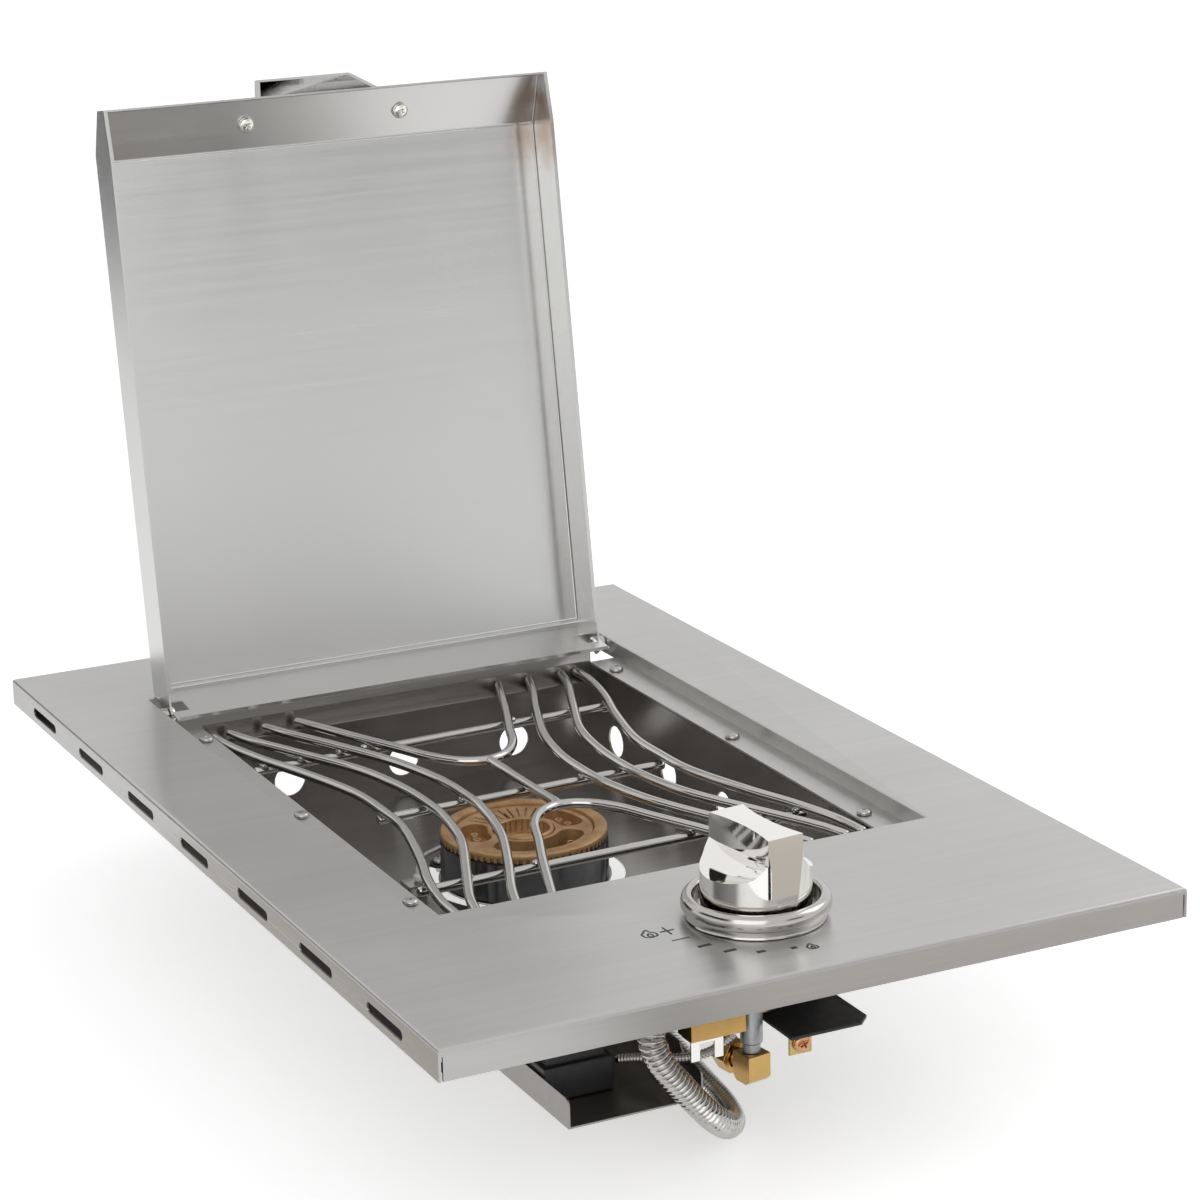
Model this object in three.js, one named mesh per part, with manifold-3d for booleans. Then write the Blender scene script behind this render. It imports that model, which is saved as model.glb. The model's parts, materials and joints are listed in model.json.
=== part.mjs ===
import * as THREE from "three";
import { mergeVertices } from "three/addons/utils/BufferGeometryUtils.js";
import Module from "manifold-3d";

// Drop-in gas side burner for an outdoor kitchen counter. Millimetres, +X right, +Y to the back, +Z up.
// The origin is the centre of the trim plate, in the plane where its lips rest on the counter.

// Trim plate
const plateWidth = 360;
const plateDepth = 559;
const skirtHeight = 14;
const trimSheet = 1.2;
const plateBend = 2;
const lipWidth = 8;
const cornerSlit = 0.8;
const slotLength = 37;
const slotHeight = 5;
const slotPitch = 75;
const slotCount = 7;
const slotCentreZ = 6;

// Opening in the plate, with its folded walls and the ledge that the bowl hangs from
const ledgeWidth = 16.4;
const openingFrontY = -146;
const openingRearY = 209.5;
const foldHeight = 8.5;
const ledgeRearY = 174.5;

// Bowl
const bowlWidth = 224;
const bowlFrontY = -129;
const bowlRearY = 174;
const bowlFloorZ = -46.3;
const bowlSheet = 1;
const bowlFlange = 12;
const rearWallTopZ = 5.2;
const hemHeight = 4;
const ventDiameter = 17;
const rearVentPitch = 65;
const sideVentPitch = 61;
const sideVentCount = 5;
const ventCentreZ = -31.5;
const floorSlotGap = 1.7;
const floorSlotWidth = 6.5;
const floorSlotAngle = 1.9;
const bowlScrewPitch = 130.5;
const bowlScrewInset = 5.4;

// Clearances between pieces, and the overrun of every cut
const seatGap = 0.3;
const holeClearance = 0.3;
const overrun = 1;

// Small screws and their pan heads
const screwDiameter = 4;
const screwHeadDiameter = 7.4;
const screwHeadHeight = 2.2;
const screwGrip = 5;
const headShoulderShare = 0.82;

// Grate
const rodDiameter = 4.9;
const grateSkew = 0.0227;
const rodTopZ = 4.95;
const rodEndGap = 4;
const weldDiameter = 3;
const restDepth = 12;
const restHeight = 9;
const restSheet = 1.2;

// Burner
const burnerY = 23.5;
const potDiameter = 83.6;
const potTopZ = -26;
const potSheet = 1.5;
const ringWidth = 6.5;
const ringTopZ = -21;
const ringBand = 4;
const ringToothDepth = 1.4;
const ringTeeth = 36;
const spiderHeight = 12;
const spiderWeb = 4;
const cupDiameter = 30;
const cupRimWall = 2;
const cupDishDiameter = 20;
const cupDishDrop = 7;
const cupRibs = 16;
const cupRibDepth = 0.7;
const cupPortDiameter = 1.6;
const cupPorts = 9;
const postDiameter = 4.2;
const postBore = 2;
const postHeight = 7;

// Electrode beside the burner
const electrodeOffset = 14.2;
const electrodeDiameter = 2.4;
const insulatorDiameter = 7.6;
const insulatorHeight = 14;
const insulatorBaseZ = -44.5;
const electrodeTipZ = -23.5;

// Mixing tube under the bowl
const tubeDiameter = 22;
const tubeWall = 1.4;
const tubeAxisZ = -66;
const tubeFrontY = -42;
const injectorLength = 14;
const injectorDiameter = 14;
const injectorFlange = 2.5;

// Lid, in its own frame: the origin is the hinge axis, +Y to the back and +Z up when it is closed
const hingeY = 190.5;
const hingeZ = 10;
const lidOpenAngle = 98.5;
const lidSideGap = 4.1;
const lidSheet = 1;
const lidBend = 2;
const lidTopZ = 21.42;
const lidRearY = -8.8;
const lidKneeY = -285.8;
const lidFrontY = -311.6;
const slopeDrop = 12;
const lidFrontDrop = 22.5;
const lidSideDrop = 25.5;
const flangeHem = 5;
const rearFlangeDrop = 37;
const rearFlangeLean = 10.3;
const rearHem = 5;
const hingeLugRadius = 6.2;
const notchWidth = 9;
const notchHeight = 13;
const hingeBoltDiameter = 3.2;
const hingeHeadDiameter = 7.6;
const hingeHeadHeight = 2.2;
const hingeNutWidth = 5.2;
const hingeNutHeight = 2.6;

// Lid handle on the front slope
const handleFootX = 43.5;
const handleBarX = 27;
const handleStandoff = 27;
const handleStrapWidth = 19.5;
const handleStrap = 3;
const handleFootLength = 13;
const handleScrewShare = 0.5;

// Control knob, its bezel and the valve
const knobY = -214.3;
const bezelDiameter = 66;
const bezelInner = 55.5;
const bezelHeight = 11;
const knobDiameter = 48.9;
const knobBaseZ = 18.5;
const knobShoulderZ = 30.5;
const knobCrownZ = 36.8;
const knobTopZ = 46.5;
const knobWaist = 12.5;
const knobFacet = 17.5;
const knobTurn = 0.14;
const knobCrownShare = 0.42;
const knobRound = 1.2;
const knobSocket = 9;
const knobTravel = 3;
const stemDiameter = 6;
const stemCollar = 8.4;
const plungerDiameter = 11;
const plungerHeight = 10;
const valveTopZ = 6;
const valveDiameter = 27;
const valveHeight = 34;
const valveBoreDepth = 20;

// Gas fittings below the valve
const outletZ = -13;
const outletY = -226;
const outletEndX = -36;
const nutWidth = 14;
const nutLength = 10;
const manifoldLeftX = -36;
const manifoldRightX = -9;
const manifoldBottomZ = -36.5;
const manifoldDepth = 13;
const pipeX = -3;
const pipeDiameter = 10;
const pipeCollarZ = -44;
const elbowTopZ = -49.5;
const elbowBottomZ = -63;
const elbowWidth = 12;
const elbowTurn = 0.14;
const neckDiameter = 8.4;
const neckLength = 9;
const inletNutLength = 9;
const inletNutWidth = 13.6;
const bracketWidth = 41;
const bracketLeftX = 2.6;
const bracketShelfZ = -34.6;
const bracketFrontY = -240;
const bracketRearY = -193;
const bracketSheet = 1.6;
const bracketChamfer = 4;
const clampX = 15.5;
const clampWidth = 11;
const clampSheet = 1.2;
const clampScrewX = 10.8;
const clampScrewZ = -40.8;
const clampScrewDiameter = 8.7;
const clipLeftX = -35;
const clipRightX = -19;
const clipDrop = 10;
const clipSheet = 1;

// Heat shield channel and the igniter module inside it
const channelLeftX = -92.5;
const channelRightX = -27;
const channelFrontY = -214;
const channelRearY = -70;
const channelFloorZ = -67;
const channelSheet = 1;
const channelFrontWall = 14;
const channelRightStepY = -197;
const channelLeftStepY = -170;
const channelFlange = 12;
const channelCorner = 4;
const moduleWidth = 34;
const moduleDepth = 56;
const moduleHeight = 20;
const moduleY = -160;

// Ribbed flex hose and the spiral sleeve of the igniter's lead
const hoseDiameter = 12.5;
const hoseBore = 8;
const hosePitch = 2.6;
const hoseRibDepth = 1.5;
const sleeveDiameter = 4.6;
const sleeveBore = 2.4;
const sleevePitch = 1.9;
const sleeveRibDepth = 0.8;

const quarter = Math.PI / 2;
const roundSides = 14;
const holeSides = 8;
const ventSides = 10;
const wideSides = 24;
const holeSwell = 1 / Math.cos(Math.PI / holeSides);
const rodSides = 8;
const bendSteps = 4;
const bowSteps = 12;
const loopSteps = 18;

const wasm = await Module();
wasm.setup();

const finishes = {
  trimSteel: { color: 0xb4b1ac, roughness: 0.34, metalness: 1 },
  lidSteel: { color: 0xc4c3bf, roughness: 0.28, metalness: 1 },
  bowlSteel: { color: 0x9a9791, roughness: 0.36, metalness: 1 },
  rodSteel: { color: 0xc3c0bb, roughness: 0.22, metalness: 1 },
  chrome: { color: 0xe2dfda, roughness: 0.08, metalness: 1 },
  satinChrome: { color: 0xd2ccc2, roughness: 0.24, metalness: 1 },
  brass: { color: 0xa97742, roughness: 0.5, metalness: 1 },
  brightBrass: { color: 0xc08a3e, roughness: 0.3, metalness: 1 },
  zinc: { color: 0xb9a860, roughness: 0.35, metalness: 1 },
  copper: { color: 0xc07a4a, roughness: 0.3, metalness: 1 },
  greyMetal: { color: 0x8f9296, roughness: 0.45, metalness: 1 },
  blackSteel: { color: 0x1c1b1c, roughness: 0.55, metalness: 0.2 },
  blackPlastic: { color: 0x17171a, roughness: 0.5, metalness: 0 },
  ceramic: { color: 0xe9e6df, roughness: 0.5, metalness: 0 },
};
const materials = {};
for (const [name, look] of Object.entries(finishes)) {
  materials[name] = new THREE.MeshStandardMaterial(look);
}

// Booleans

function toSolid(geometry) {
  const plain = geometry.index ? geometry.toNonIndexed() : geometry.clone();
  const bare = new THREE.BufferGeometry();
  bare.setAttribute("position", plain.getAttribute("position"));
  const merged = mergeVertices(bare, 1e-4);
  return new wasm.Manifold(
    new wasm.Mesh({
      numProp: 3,
      vertProperties: merged.attributes.position.array,
      triVerts: new Uint32Array(merged.index.array),
    }),
  );
}

function toGeometry(solid) {
  const mesh = solid.getMesh();
  const geometry = new THREE.BufferGeometry();
  geometry.setAttribute("position", new THREE.BufferAttribute(mesh.vertProperties, 3));
  geometry.setIndex(new THREE.BufferAttribute(mesh.triVerts, 1));
  geometry.computeVertexNormals();
  return geometry;
}

function join(first, ...others) {
  return others.reduce((sum, other) => sum.add(toSolid(other)), toSolid(first));
}

function cut(solid, ...tools) {
  return tools.reduce((rest, tool) => rest.subtract(toSolid(tool)), solid);
}

function piece(name, form, material) {
  const geometry = form.isBufferGeometry ? form : toGeometry(form);
  const mesh = new THREE.Mesh(geometry, materials[material]);
  mesh.name = name;
  return mesh;
}

// Plain forms

// A box between two corners.
function block(x0, y0, z0, x1, y1, z1) {
  const box = new THREE.BoxGeometry(x1 - x0, y1 - y0, z1 - z0);
  return box.translate((x0 + x1) / 2, (y0 + y1) / 2, (z0 + z1) / 2);
}

// A cylinder from z0 to z1 about a vertical axis.
function rod(diameter, x, y, z0, z1, sides = roundSides) {
  const cylinder = new THREE.CylinderGeometry(diameter / 2, diameter / 2, z1 - z0, sides);
  return cylinder.rotateX(quarter).translate(x, y, (z0 + z1) / 2);
}

// A cylinder along X or Y, between two values of that axis.
function rodAlong(axis, diameter, from, to, a, b, sides = roundSides) {
  const cylinder = new THREE.CylinderGeometry(diameter / 2, diameter / 2, to - from, sides);
  if (axis === "x") return cylinder.rotateZ(-quarter).translate((from + to) / 2, a, b);
  return cylinder.translate(a, (from + to) / 2, b);
}

// A body of revolution about a vertical axis, from a list of [radius, z] that starts and ends on the axis
// or comes back to its start.
function turned(profile, sides = roundSides) {
  const points = profile.map(([radius, z]) => new THREE.Vector2(radius, z));
  return new THREE.LatheGeometry(points, sides).rotateX(quarter);
}

function shapeOf(points) {
  return new THREE.Shape(points.map(([x, y]) => new THREE.Vector2(x, y)));
}

// An outline in the XY plane, raised from z0 to z1.
function raised(shape, z0, z1, curveSegments = roundSides / 2) {
  const options = { depth: z1 - z0, bevelEnabled: false, curveSegments };
  return new THREE.ExtrudeGeometry(shape, options).translate(0, 0, z0);
}

// An outline of [y, z] points, drawn out along X from x0 to x1.
function acrossX(points, x0, x1) {
  const geometry = raised(shapeOf(points), x0, x1);
  return geometry.applyMatrix4(new THREE.Matrix4().makeBasis(
    new THREE.Vector3(0, 1, 0),
    new THREE.Vector3(0, 0, 1),
    new THREE.Vector3(1, 0, 0),
  ));
}

// An outline of [x, z] points, drawn out along Y from y0 to y1.
function acrossY(points, y0, y1) {
  const geometry = raised(shapeOf(points), -y1, -y0);
  return geometry.rotateX(quarter);
}

// The closed outline of a bent sheet: the path is its outer side, the thickness lies to its left.
function sheetOutline(path, thickness) {
  const inner = path.map(([x, y], i) => {
    const before = path[Math.max(i - 1, 0)];
    const after = path[Math.min(i + 1, path.length - 1)];
    const turnIn = i > 0 ? Math.atan2(y - before[1], x - before[0]) : null;
    const turnOut = i < path.length - 1 ? Math.atan2(after[1] - y, after[0] - x) : turnIn;
    const start = turnIn === null ? turnOut : turnIn;
    const bend = Math.atan2(Math.sin(turnOut - start), Math.cos(turnOut - start)) / 2;
    const reach = thickness / Math.cos(bend);
    const angle = start + bend + quarter;
    return [x + reach * Math.cos(angle), y + reach * Math.sin(angle)];
  });
  return [...path, ...inner.reverse()];
}

// Replaces the corners of a path by short arcs.
function rounded(path, radius) {
  return path.flatMap((point, i) => {
    if (i === 0 || i === path.length - 1) return [point];
    const corner = new THREE.Vector2(...point);
    const before = new THREE.Vector2(...path[i - 1]).sub(corner).normalize();
    const after = new THREE.Vector2(...path[i + 1]).sub(corner).normalize();
    const half = Math.acos(before.dot(after)) / 2;
    const reach = radius / Math.tan(half);
    const curve = new THREE.QuadraticBezierCurve(
      corner.clone().addScaledVector(before, reach),
      corner,
      corner.clone().addScaledVector(after, reach),
    );
    return curve.getPoints(bendSteps).map((p) => [p.x, p.y]);
  });
}

// A body through rings of four corners, given as [half width, half depth, z] from the bottom up.
function stacked(rings) {
  const corners = rings.map(([w, d, z]) => [
    [-w, -d, z],
    [w, -d, z],
    [w, d, z],
    [-w, d, z],
  ]);
  return loft(corners);
}

// A closed body through rings with equal counts of points, each ring turning left seen from the end.
function loft(rings) {
  const count = rings[0].length;
  const points = rings.flat();
  const faces = [];
  for (let ring = 0; ring + 1 < rings.length; ring += 1) {
    for (let i = 0; i < count; i += 1) {
      const next = (i + 1) % count;
      const low = ring * count;
      const high = low + count;
      faces.push(low + i, low + next, high + next, low + i, high + next, high + i);
    }
  }
  const last = (rings.length - 1) * count;
  for (let i = 1; i + 1 < count; i += 1) {
    faces.push(0, i + 1, i);
    faces.push(last, last + i, last + i + 1);
  }
  const geometry = new THREE.BufferGeometry();
  geometry.setAttribute("position", new THREE.Float32BufferAttribute(points.flat(), 3));
  return geometry.setIndex(faces);
}

// A solid bar of round section along a curve.
function bar(curve, diameter, steps, sides = rodSides) {
  const ring = new THREE.EllipseCurve(0, 0, diameter / 2, diameter / 2);
  const points = ring.getPoints(sides).slice(0, sides);
  const options = { steps, extrudePath: curve, bevelEnabled: false };
  return new THREE.ExtrudeGeometry(new THREE.Shape(points), options);
}

function smooth(points, tension = 0.5) {
  const vectors = points.map(([x, y, z]) => new THREE.Vector3(x, y, z));
  return new THREE.CatmullRomCurve3(vectors, false, "catmullrom", tension);
}

// A hexagon nut along X or Y, with a flat on top and a bore.
function hexNut(axis, width, bore, from, to, a, b) {
  const across = width / 2 / Math.cos(Math.PI / 6);
  const outer = new THREE.CylinderGeometry(across, across, to - from, 6).rotateY(Math.PI / 6);
  if (axis === "x") outer.rotateZ(-quarter).translate((from + to) / 2, a, b);
  else outer.translate(a, (from + to) / 2, b);
  const hole = rodAlong(axis, bore * holeSwell, from - overrun, to + overrun, a, b, holeSides);
  return cut(toSolid(outer), hole);
}

// A pan head screw pointing down, with its head's underside at z = 0.
function panScrew(diameter, headDiameter, headHeight, grip) {
  const radius = headDiameter / 2;
  return turned([
    [0, -grip],
    [diameter / 2, -grip],
    [diameter / 2, 0],
    [radius, 0],
    [radius * headShoulderShare, headHeight * headShoulderShare],
    [0, headHeight],
  ], holeSides);
}

// Trim plate

const plateTopZ = skirtHeight;
const openingWidth = bowlWidth + 2 * ledgeWidth;
const lidWidth = openingWidth - 2 * lidSideGap;
const ledgeTopZ = plateTopZ - foldHeight;
const ledgeBottomZ = ledgeTopZ - trimSheet;

// The wall round the opening, folded down, with the hinge bolts' holes in it.
function trimPlate() {
  const halfWidth = plateWidth / 2;
  const halfDepth = plateDepth / 2;
  const bendRings = (inset, bend, top) => {
    const rings = [];
    for (let i = 0; i <= bendSteps; i += 1) {
      const turn = (quarter * i) / bendSteps;
      const pull = inset + bend * (1 - Math.cos(turn));
      rings.push([halfWidth - pull, halfDepth - pull, top - bend * (1 - Math.sin(turn))]);
    }
    return rings;
  };
  const outside = stacked([[halfWidth, halfDepth, 0], ...bendRings(0, plateBend, plateTopZ)]);
  const inside = stacked([
    [halfWidth - trimSheet, halfDepth - trimSheet, -overrun],
    ...bendRings(trimSheet, plateBend - trimSheet, plateTopZ - trimSheet),
  ]);
  let plate = cut(toSolid(outside), inside);

  // Turned-in lips stop short of the corners, so each corner stays open.
  const lipX = halfWidth - lipWidth;
  const lipY = halfDepth - lipWidth - cornerSlit;
  for (const side of [-1, 1]) {
    const y = side * (halfDepth - lipWidth / 2);
    const x = side * (halfWidth - lipWidth / 2);
    const reach = lipWidth / 2;
    plate = plate.add(toSolid(block(-lipX, y - reach, 0, lipX, y + reach, trimSheet)));
    plate = plate.add(toSolid(block(x - reach, -lipY, 0, x + reach, lipY, trimSheet)));
  }
  const slitTop = plateTopZ - plateBend - trimSheet;
  for (const sideX of [-1, 1]) {
    for (const sideY of [-1, 1]) {
      const slitX = sideX * (halfWidth - trimSheet - cornerSlit / 2);
      const slitY = sideY * halfDepth;
      plate = cut(plate, block(
        slitX - cornerSlit / 2,
        slitY - trimSheet - overrun,
        -overrun,
        slitX + cornerSlit / 2,
        slitY + trimSheet + overrun,
        slitTop,
      ));
    }
  }

  // Opening: folded walls, then the ledge at their foot on the left, right and front.
  const openX = openingWidth / 2;
  const wallX = openX + trimSheet;
  const frontY = openingFrontY - trimSheet;
  const rearY = openingRearY + trimSheet;
  const bowlX = bowlWidth / 2;
  const collar = block(-wallX, frontY, ledgeBottomZ, wallX, rearY, plateTopZ - 0.7 * trimSheet);
  plate = plate.add(toSolid(collar));
  const flare = trimSheet / 2;
  plate = cut(
    plate,
    block(-openX, openingFrontY, ledgeTopZ, openX, openingRearY, plateTopZ + overrun),
    block(-bowlX, bowlFrontY, ledgeBottomZ - overrun, bowlX, openingRearY, plateTopZ),
    block(-openX, ledgeRearY, ledgeBottomZ - overrun, openX, openingRearY, plateTopZ),
    openingBend(openX, flare),
  );

  // Slots in the left and right skirts.
  for (let i = 0; i < slotCount; i += 1) {
    const y = (i - (slotCount - 1) / 2) * slotPitch;
    plate = cut(plate, slotCutter(y, -halfWidth), slotCutter(y, halfWidth));
  }

  // Holes for the valve's stem, the six bowl screws and the two hinge bolts.
  const stemHole = stemCollar + plungerDiameter - stemDiameter;
  const screwHole = screwDiameter + 2 * holeClearance;
  const boltHole = hingeBoltDiameter + 2 * holeClearance;
  plate = cut(plate, rod(stemHole, 0, knobY, plateTopZ - 2 * trimSheet, plateTopZ + overrun));
  for (const [x, y] of bowlScrewPlaces()) {
    plate = cut(plate, rod(screwHole, x, y, ledgeBottomZ - overrun, ledgeTopZ + overrun, holeSides));
  }
  for (const side of [-1, 1]) {
    const from = side * openX - trimSheet - overrun;
    const to = side * openX + trimSheet + overrun;
    plate = cut(plate, rodAlong("x", boltHole, from, to, hingeY, hingeZ, holeSides));
  }
  return piece("trim_plate", plate, "trimSteel");
}

// The small bend where the plate turns down into the opening.
function openingBend(openX, flare) {
  const centreY = (openingFrontY + openingRearY) / 2;
  const halfY = (openingRearY - openingFrontY) / 2;
  return stacked([
    [openX, halfY, plateTopZ - flare],
    [openX + flare * 0.35, halfY + flare * 0.35, plateTopZ - flare * 0.35],
    [openX + flare, halfY + flare, plateTopZ],
    [openX + flare, halfY + flare, plateTopZ + overrun],
  ]).translate(0, centreY, 0);
}

function slotCutter(y, x) {
  const radius = slotHeight / 2;
  const half = slotLength / 2 - radius;
  const outline = new THREE.Shape();
  outline.absarc(half, 0, radius, -quarter, quarter);
  outline.absarc(-half, 0, radius, quarter, 3 * quarter);
  const cutter = raised(outline, -trimSheet - overrun, trimSheet + overrun, 2);
  return cutter.rotateX(quarter).rotateZ(quarter).translate(x, y, slotCentreZ);
}

function bowlScrewPlaces() {
  const centreY = (bowlFrontY + bowlRearY) / 2;
  const places = [];
  for (const side of [-1, 1]) {
    for (const row of [-1, 0, 1]) {
      places.push([side * (bowlWidth / 2 + bowlScrewInset), centreY + row * bowlScrewPitch]);
    }
  }
  return places;
}

// Bowl

function burnerBowl() {
  const x = bowlWidth / 2;
  const wall = bowlSheet;
  const flangeTop = ledgeBottomZ - seatGap;
  const flangeBottom = flangeTop - wall;
  const bottom = bowlFloorZ - wall;
  let bowl = join(
    block(-x - wall, bowlFrontY - wall, bottom, x + wall, bowlRearY + wall, flangeTop),
    block(-x - bowlFlange, bowlFrontY - bowlFlange, flangeBottom, x + bowlFlange, bowlRearY, flangeTop),
  );
  bowl = cut(bowl, block(-x, bowlFrontY, bowlFloorZ, x, bowlRearY, flangeTop + overrun));

  // The rear wall rises into the slot behind the ledge and is hemmed to the front.
  const clearX = x - seatGap;
  const hemFoot = rearWallTopZ - hemHeight;
  bowl = bowl.add(toSolid(block(-clearX, bowlRearY, flangeBottom, clearX, bowlRearY + wall, rearWallTopZ)));
  bowl = bowl.add(toSolid(block(-clearX, bowlRearY - wall, hemFoot, clearX, bowlRearY + wall / 2, rearWallTopZ)));

  // Round vents in the rear and side walls.
  const centreY = (bowlFrontY + bowlRearY) / 2;
  for (const place of [-1, 0, 1]) {
    const from = bowlRearY - overrun;
    const to = bowlRearY + wall + overrun;
    bowl = cut(bowl, rodAlong("y", ventDiameter, from, to, place * rearVentPitch, ventCentreZ, ventSides));
  }
  for (let i = 0; i < sideVentCount; i += 1) {
    const y = centreY + (i - (sideVentCount - 1) / 2) * sideVentPitch;
    for (const side of [-1, 1]) {
      const from = side * x - wall - overrun;
      const to = side * x + wall + overrun;
      bowl = cut(bowl, rodAlong("x", ventDiameter, from, to, y, ventCentreZ, ventSides));
    }
  }

  // Two air slots in the floor beside the pot, the inlet's hole and the screws' holes.
  const slotInner = potDiameter / 2 + floorSlotGap;
  const slotOuter = slotInner + floorSlotWidth;
  for (const side of [0, Math.PI]) {
    const slot = arcBand(slotInner, slotOuter, side - floorSlotAngle / 2, side + floorSlotAngle / 2);
    bowl = cut(bowl, raised(slot, bottom - overrun, bowlFloorZ + overrun).translate(0, burnerY, 0));
  }
  const low = bottom - overrun;
  const high = bowlFloorZ + overrun;
  const screwHole = screwDiameter + 2 * holeClearance;
  bowl = cut(bowl, rod(tubeDiameter + 2 * holeClearance, 0, burnerY, low, high));
  for (const [px, py] of [...burnerScrewPlaces(), ...channelScrewPlaces()]) {
    bowl = cut(bowl, rod(screwHole, px, py, low, high, holeSides));
  }
  for (const [px, py] of bowlScrewPlaces()) {
    bowl = cut(bowl, rod(screwHole, px, py, flangeBottom - overrun, flangeTop + overrun, holeSides));
  }
  return piece("burner_bowl", bowl, "bowlSteel");
}

// The outline of a part of a ring, between two radii and two angles.
function arcBand(inner, outer, from, to) {
  const band = new THREE.Shape();
  band.absarc(0, 0, outer, from, to, false);
  band.absarc(0, 0, inner, to, from, true);
  return band;
}

function burnerScrewPlaces() {
  const reach = potDiameter / 2 + potEar / 3;
  const turn = Math.PI / 4;
  return [
    [-reach * Math.cos(turn), burnerY + reach * Math.sin(turn)],
    [reach * Math.cos(turn), burnerY + reach * Math.sin(turn)],
  ];
}

function channelScrewPlaces() {
  const y = (bowlFrontY + channelRearY) / 2;
  return [
    [channelLeftX - channelFlange / 2, y],
    [channelRightX + channelFlange / 2, y],
  ];
}

function bowlScrews() {
  return bowlScrewPlaces().map(([x, y], i) => {
    const screw = panScrew(screwDiameter, screwHeadDiameter, screwHeadHeight, screwGrip);
    const mesh = piece("bowl_screw_" + (i + 1), screw, "rodSteel");
    mesh.position.set(x, y, ledgeTopZ + seatGap);
    return mesh;
  });
}

// Grate

const rodAxisZ = rodTopZ - rodDiameter / 2;
const crossAxisZ = rodAxisZ - rodDiameter - seatGap;
const restTopZ = rodAxisZ - rodDiameter / 2 - seatGap;

// An angle strip on the front or rear wall, whose shelf carries the rod ends.
function grateRest(name, side) {
  const wallY = side > 0 ? bowlRearY : bowlFrontY;
  const near = wallY - side * seatGap;
  const far = wallY - side * restDepth;
  const leg = near - side * restSheet;
  const halfWidth = bowlWidth / 2 - restDepth / 2;
  const shelf = [Math.min(near, far), Math.max(near, far)];
  const web = [Math.min(near, leg), Math.max(near, leg)];
  const rest = join(
    block(-halfWidth, shelf[0], restTopZ - restSheet, halfWidth, shelf[1], restTopZ),
    block(-halfWidth, web[0], restTopZ - restHeight, halfWidth, web[1], restTopZ),
  );
  return piece(name, rest, "bowlSteel");
}

// Half routes of the rods from the grate's middle to the rear wall, as shares of the bowl's half width and
// of the rods' half length.
const outerShares = [[0.692, 0], [0.705, 0.203], [0.795, 0.475], [0.875, 0.664], [0.93, 0.848], [0.943, 1]];
const middleShares = [[0.482, 0], [0.496, 0.176], [0.554, 0.393], [0.688, 0.644], [0.813, 0.868], [0.862, 1]];
const innerShares = [[0.295, 0], [0.308, 0.176], [0.375, 0.407], [0.5, 0.651], [0.625, 0.868], [0.688, 1]];
const loopShares = [
  [0, 0.264],
  [0.112, 0.298],
  [0.205, 0.393],
  [0.277, 0.529],
  [0.375, 0.705],
  [0.473, 0.895],
  [0.527, 1],
];
const crossShares = [0.92, 0.661];
const crossMiddleShare = 0.705;
const rodHalfLength = (bowlRearY - bowlFrontY) / 2 - rodEndGap;

function rodPoint([x, y], sideX, sideY) {
  return [(sideX * x * bowlWidth) / 2, sideY * y * rodHalfLength, rodAxisZ];
}

// A rod bowed towards the middle of its length.
function bowedRod(side, shares) {
  const front = shares.slice(1).reverse().map((share) => rodPoint(share, side, -1));
  const rear = shares.map((share) => rodPoint(share, side, 1));
  return bar(smooth([...front, ...rear]), rodDiameter, bowSteps);
}

// A straight rod under the others.
function crossRod(halfShare, yShare) {
  const x = (halfShare * bowlWidth) / 2;
  const y = yShare * rodHalfLength;
  return bar(smooth([[-x, y, crossAxisZ], [x, y, crossAxisZ]]), rodDiameter, 1);
}

// The weld where a rod stands on a cross rod.
function weld(xShare, yShare) {
  const x = (xShare * bowlWidth) / 2;
  return rod(weldDiameter, x, yShare * rodHalfLength, crossAxisZ, rodAxisZ, holeSides);
}

// The grate is one welded piece, given here as its frame, its inner rods, two single rods and its loops.
function cookingGrate() {
  const [crossHalf, crossY] = crossShares;
  const frame = [crossRod(crossHalf, -crossY), crossRod(crossHalf, crossY)];
  const inside = [crossRod(crossMiddleShare, 0)];
  for (const side of [-1, 1]) {
    frame.push(bowedRod(side, outerShares));
    frame.push(weld(side * outerShares[3][0], -crossY), weld(side * outerShares[3][0], crossY));
    inside.push(bowedRod(side, innerShares), weld(side * innerShares[0][0], 0));
  }
  const loops = [-1, 1].map((side) => {
    const left = loopShares.slice(1).reverse().map((share) => rodPoint(share, -1, side));
    const right = loopShares.map((share) => rodPoint(share, 1, side));
    return bar(smooth([...left, ...right]), rodDiameter, loopSteps);
  });
  const spoke = loopShares[0][1] * rodHalfLength;
  loops.push(bar(smooth([[0, -spoke, rodAxisZ], [0, spoke, rodAxisZ]]), rodDiameter, 1));
  const group = new THREE.Group();
  group.add(
    piece("grate_frame", join(...frame), "rodSteel"),
    piece("grate_inner_rods", join(...inside), "rodSteel"),
    piece("grate_rod_left", bowedRod(-1, middleShares), "rodSteel"),
    piece("grate_rod_right", bowedRod(1, middleShares), "rodSteel"),
    piece("grate_loops", join(...loops), "rodSteel"),
  );
  group.rotation.z = grateSkew;
  group.position.y = (bowlFrontY + bowlRearY) / 2;
  return group;
}

// Burner

const potEar = 11;
const potFloorZ = bowlFloorZ + seatGap;
const ringDiameter = potDiameter - 2 * seatGap;
const ringInner = ringDiameter - 2 * ringWidth;
const spiderRadius = ringInner / 2 - seatGap;
const spiderTopZ = ringTopZ - 1.5;
const spiderBottomZ = spiderTopZ - spiderHeight;

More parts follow.
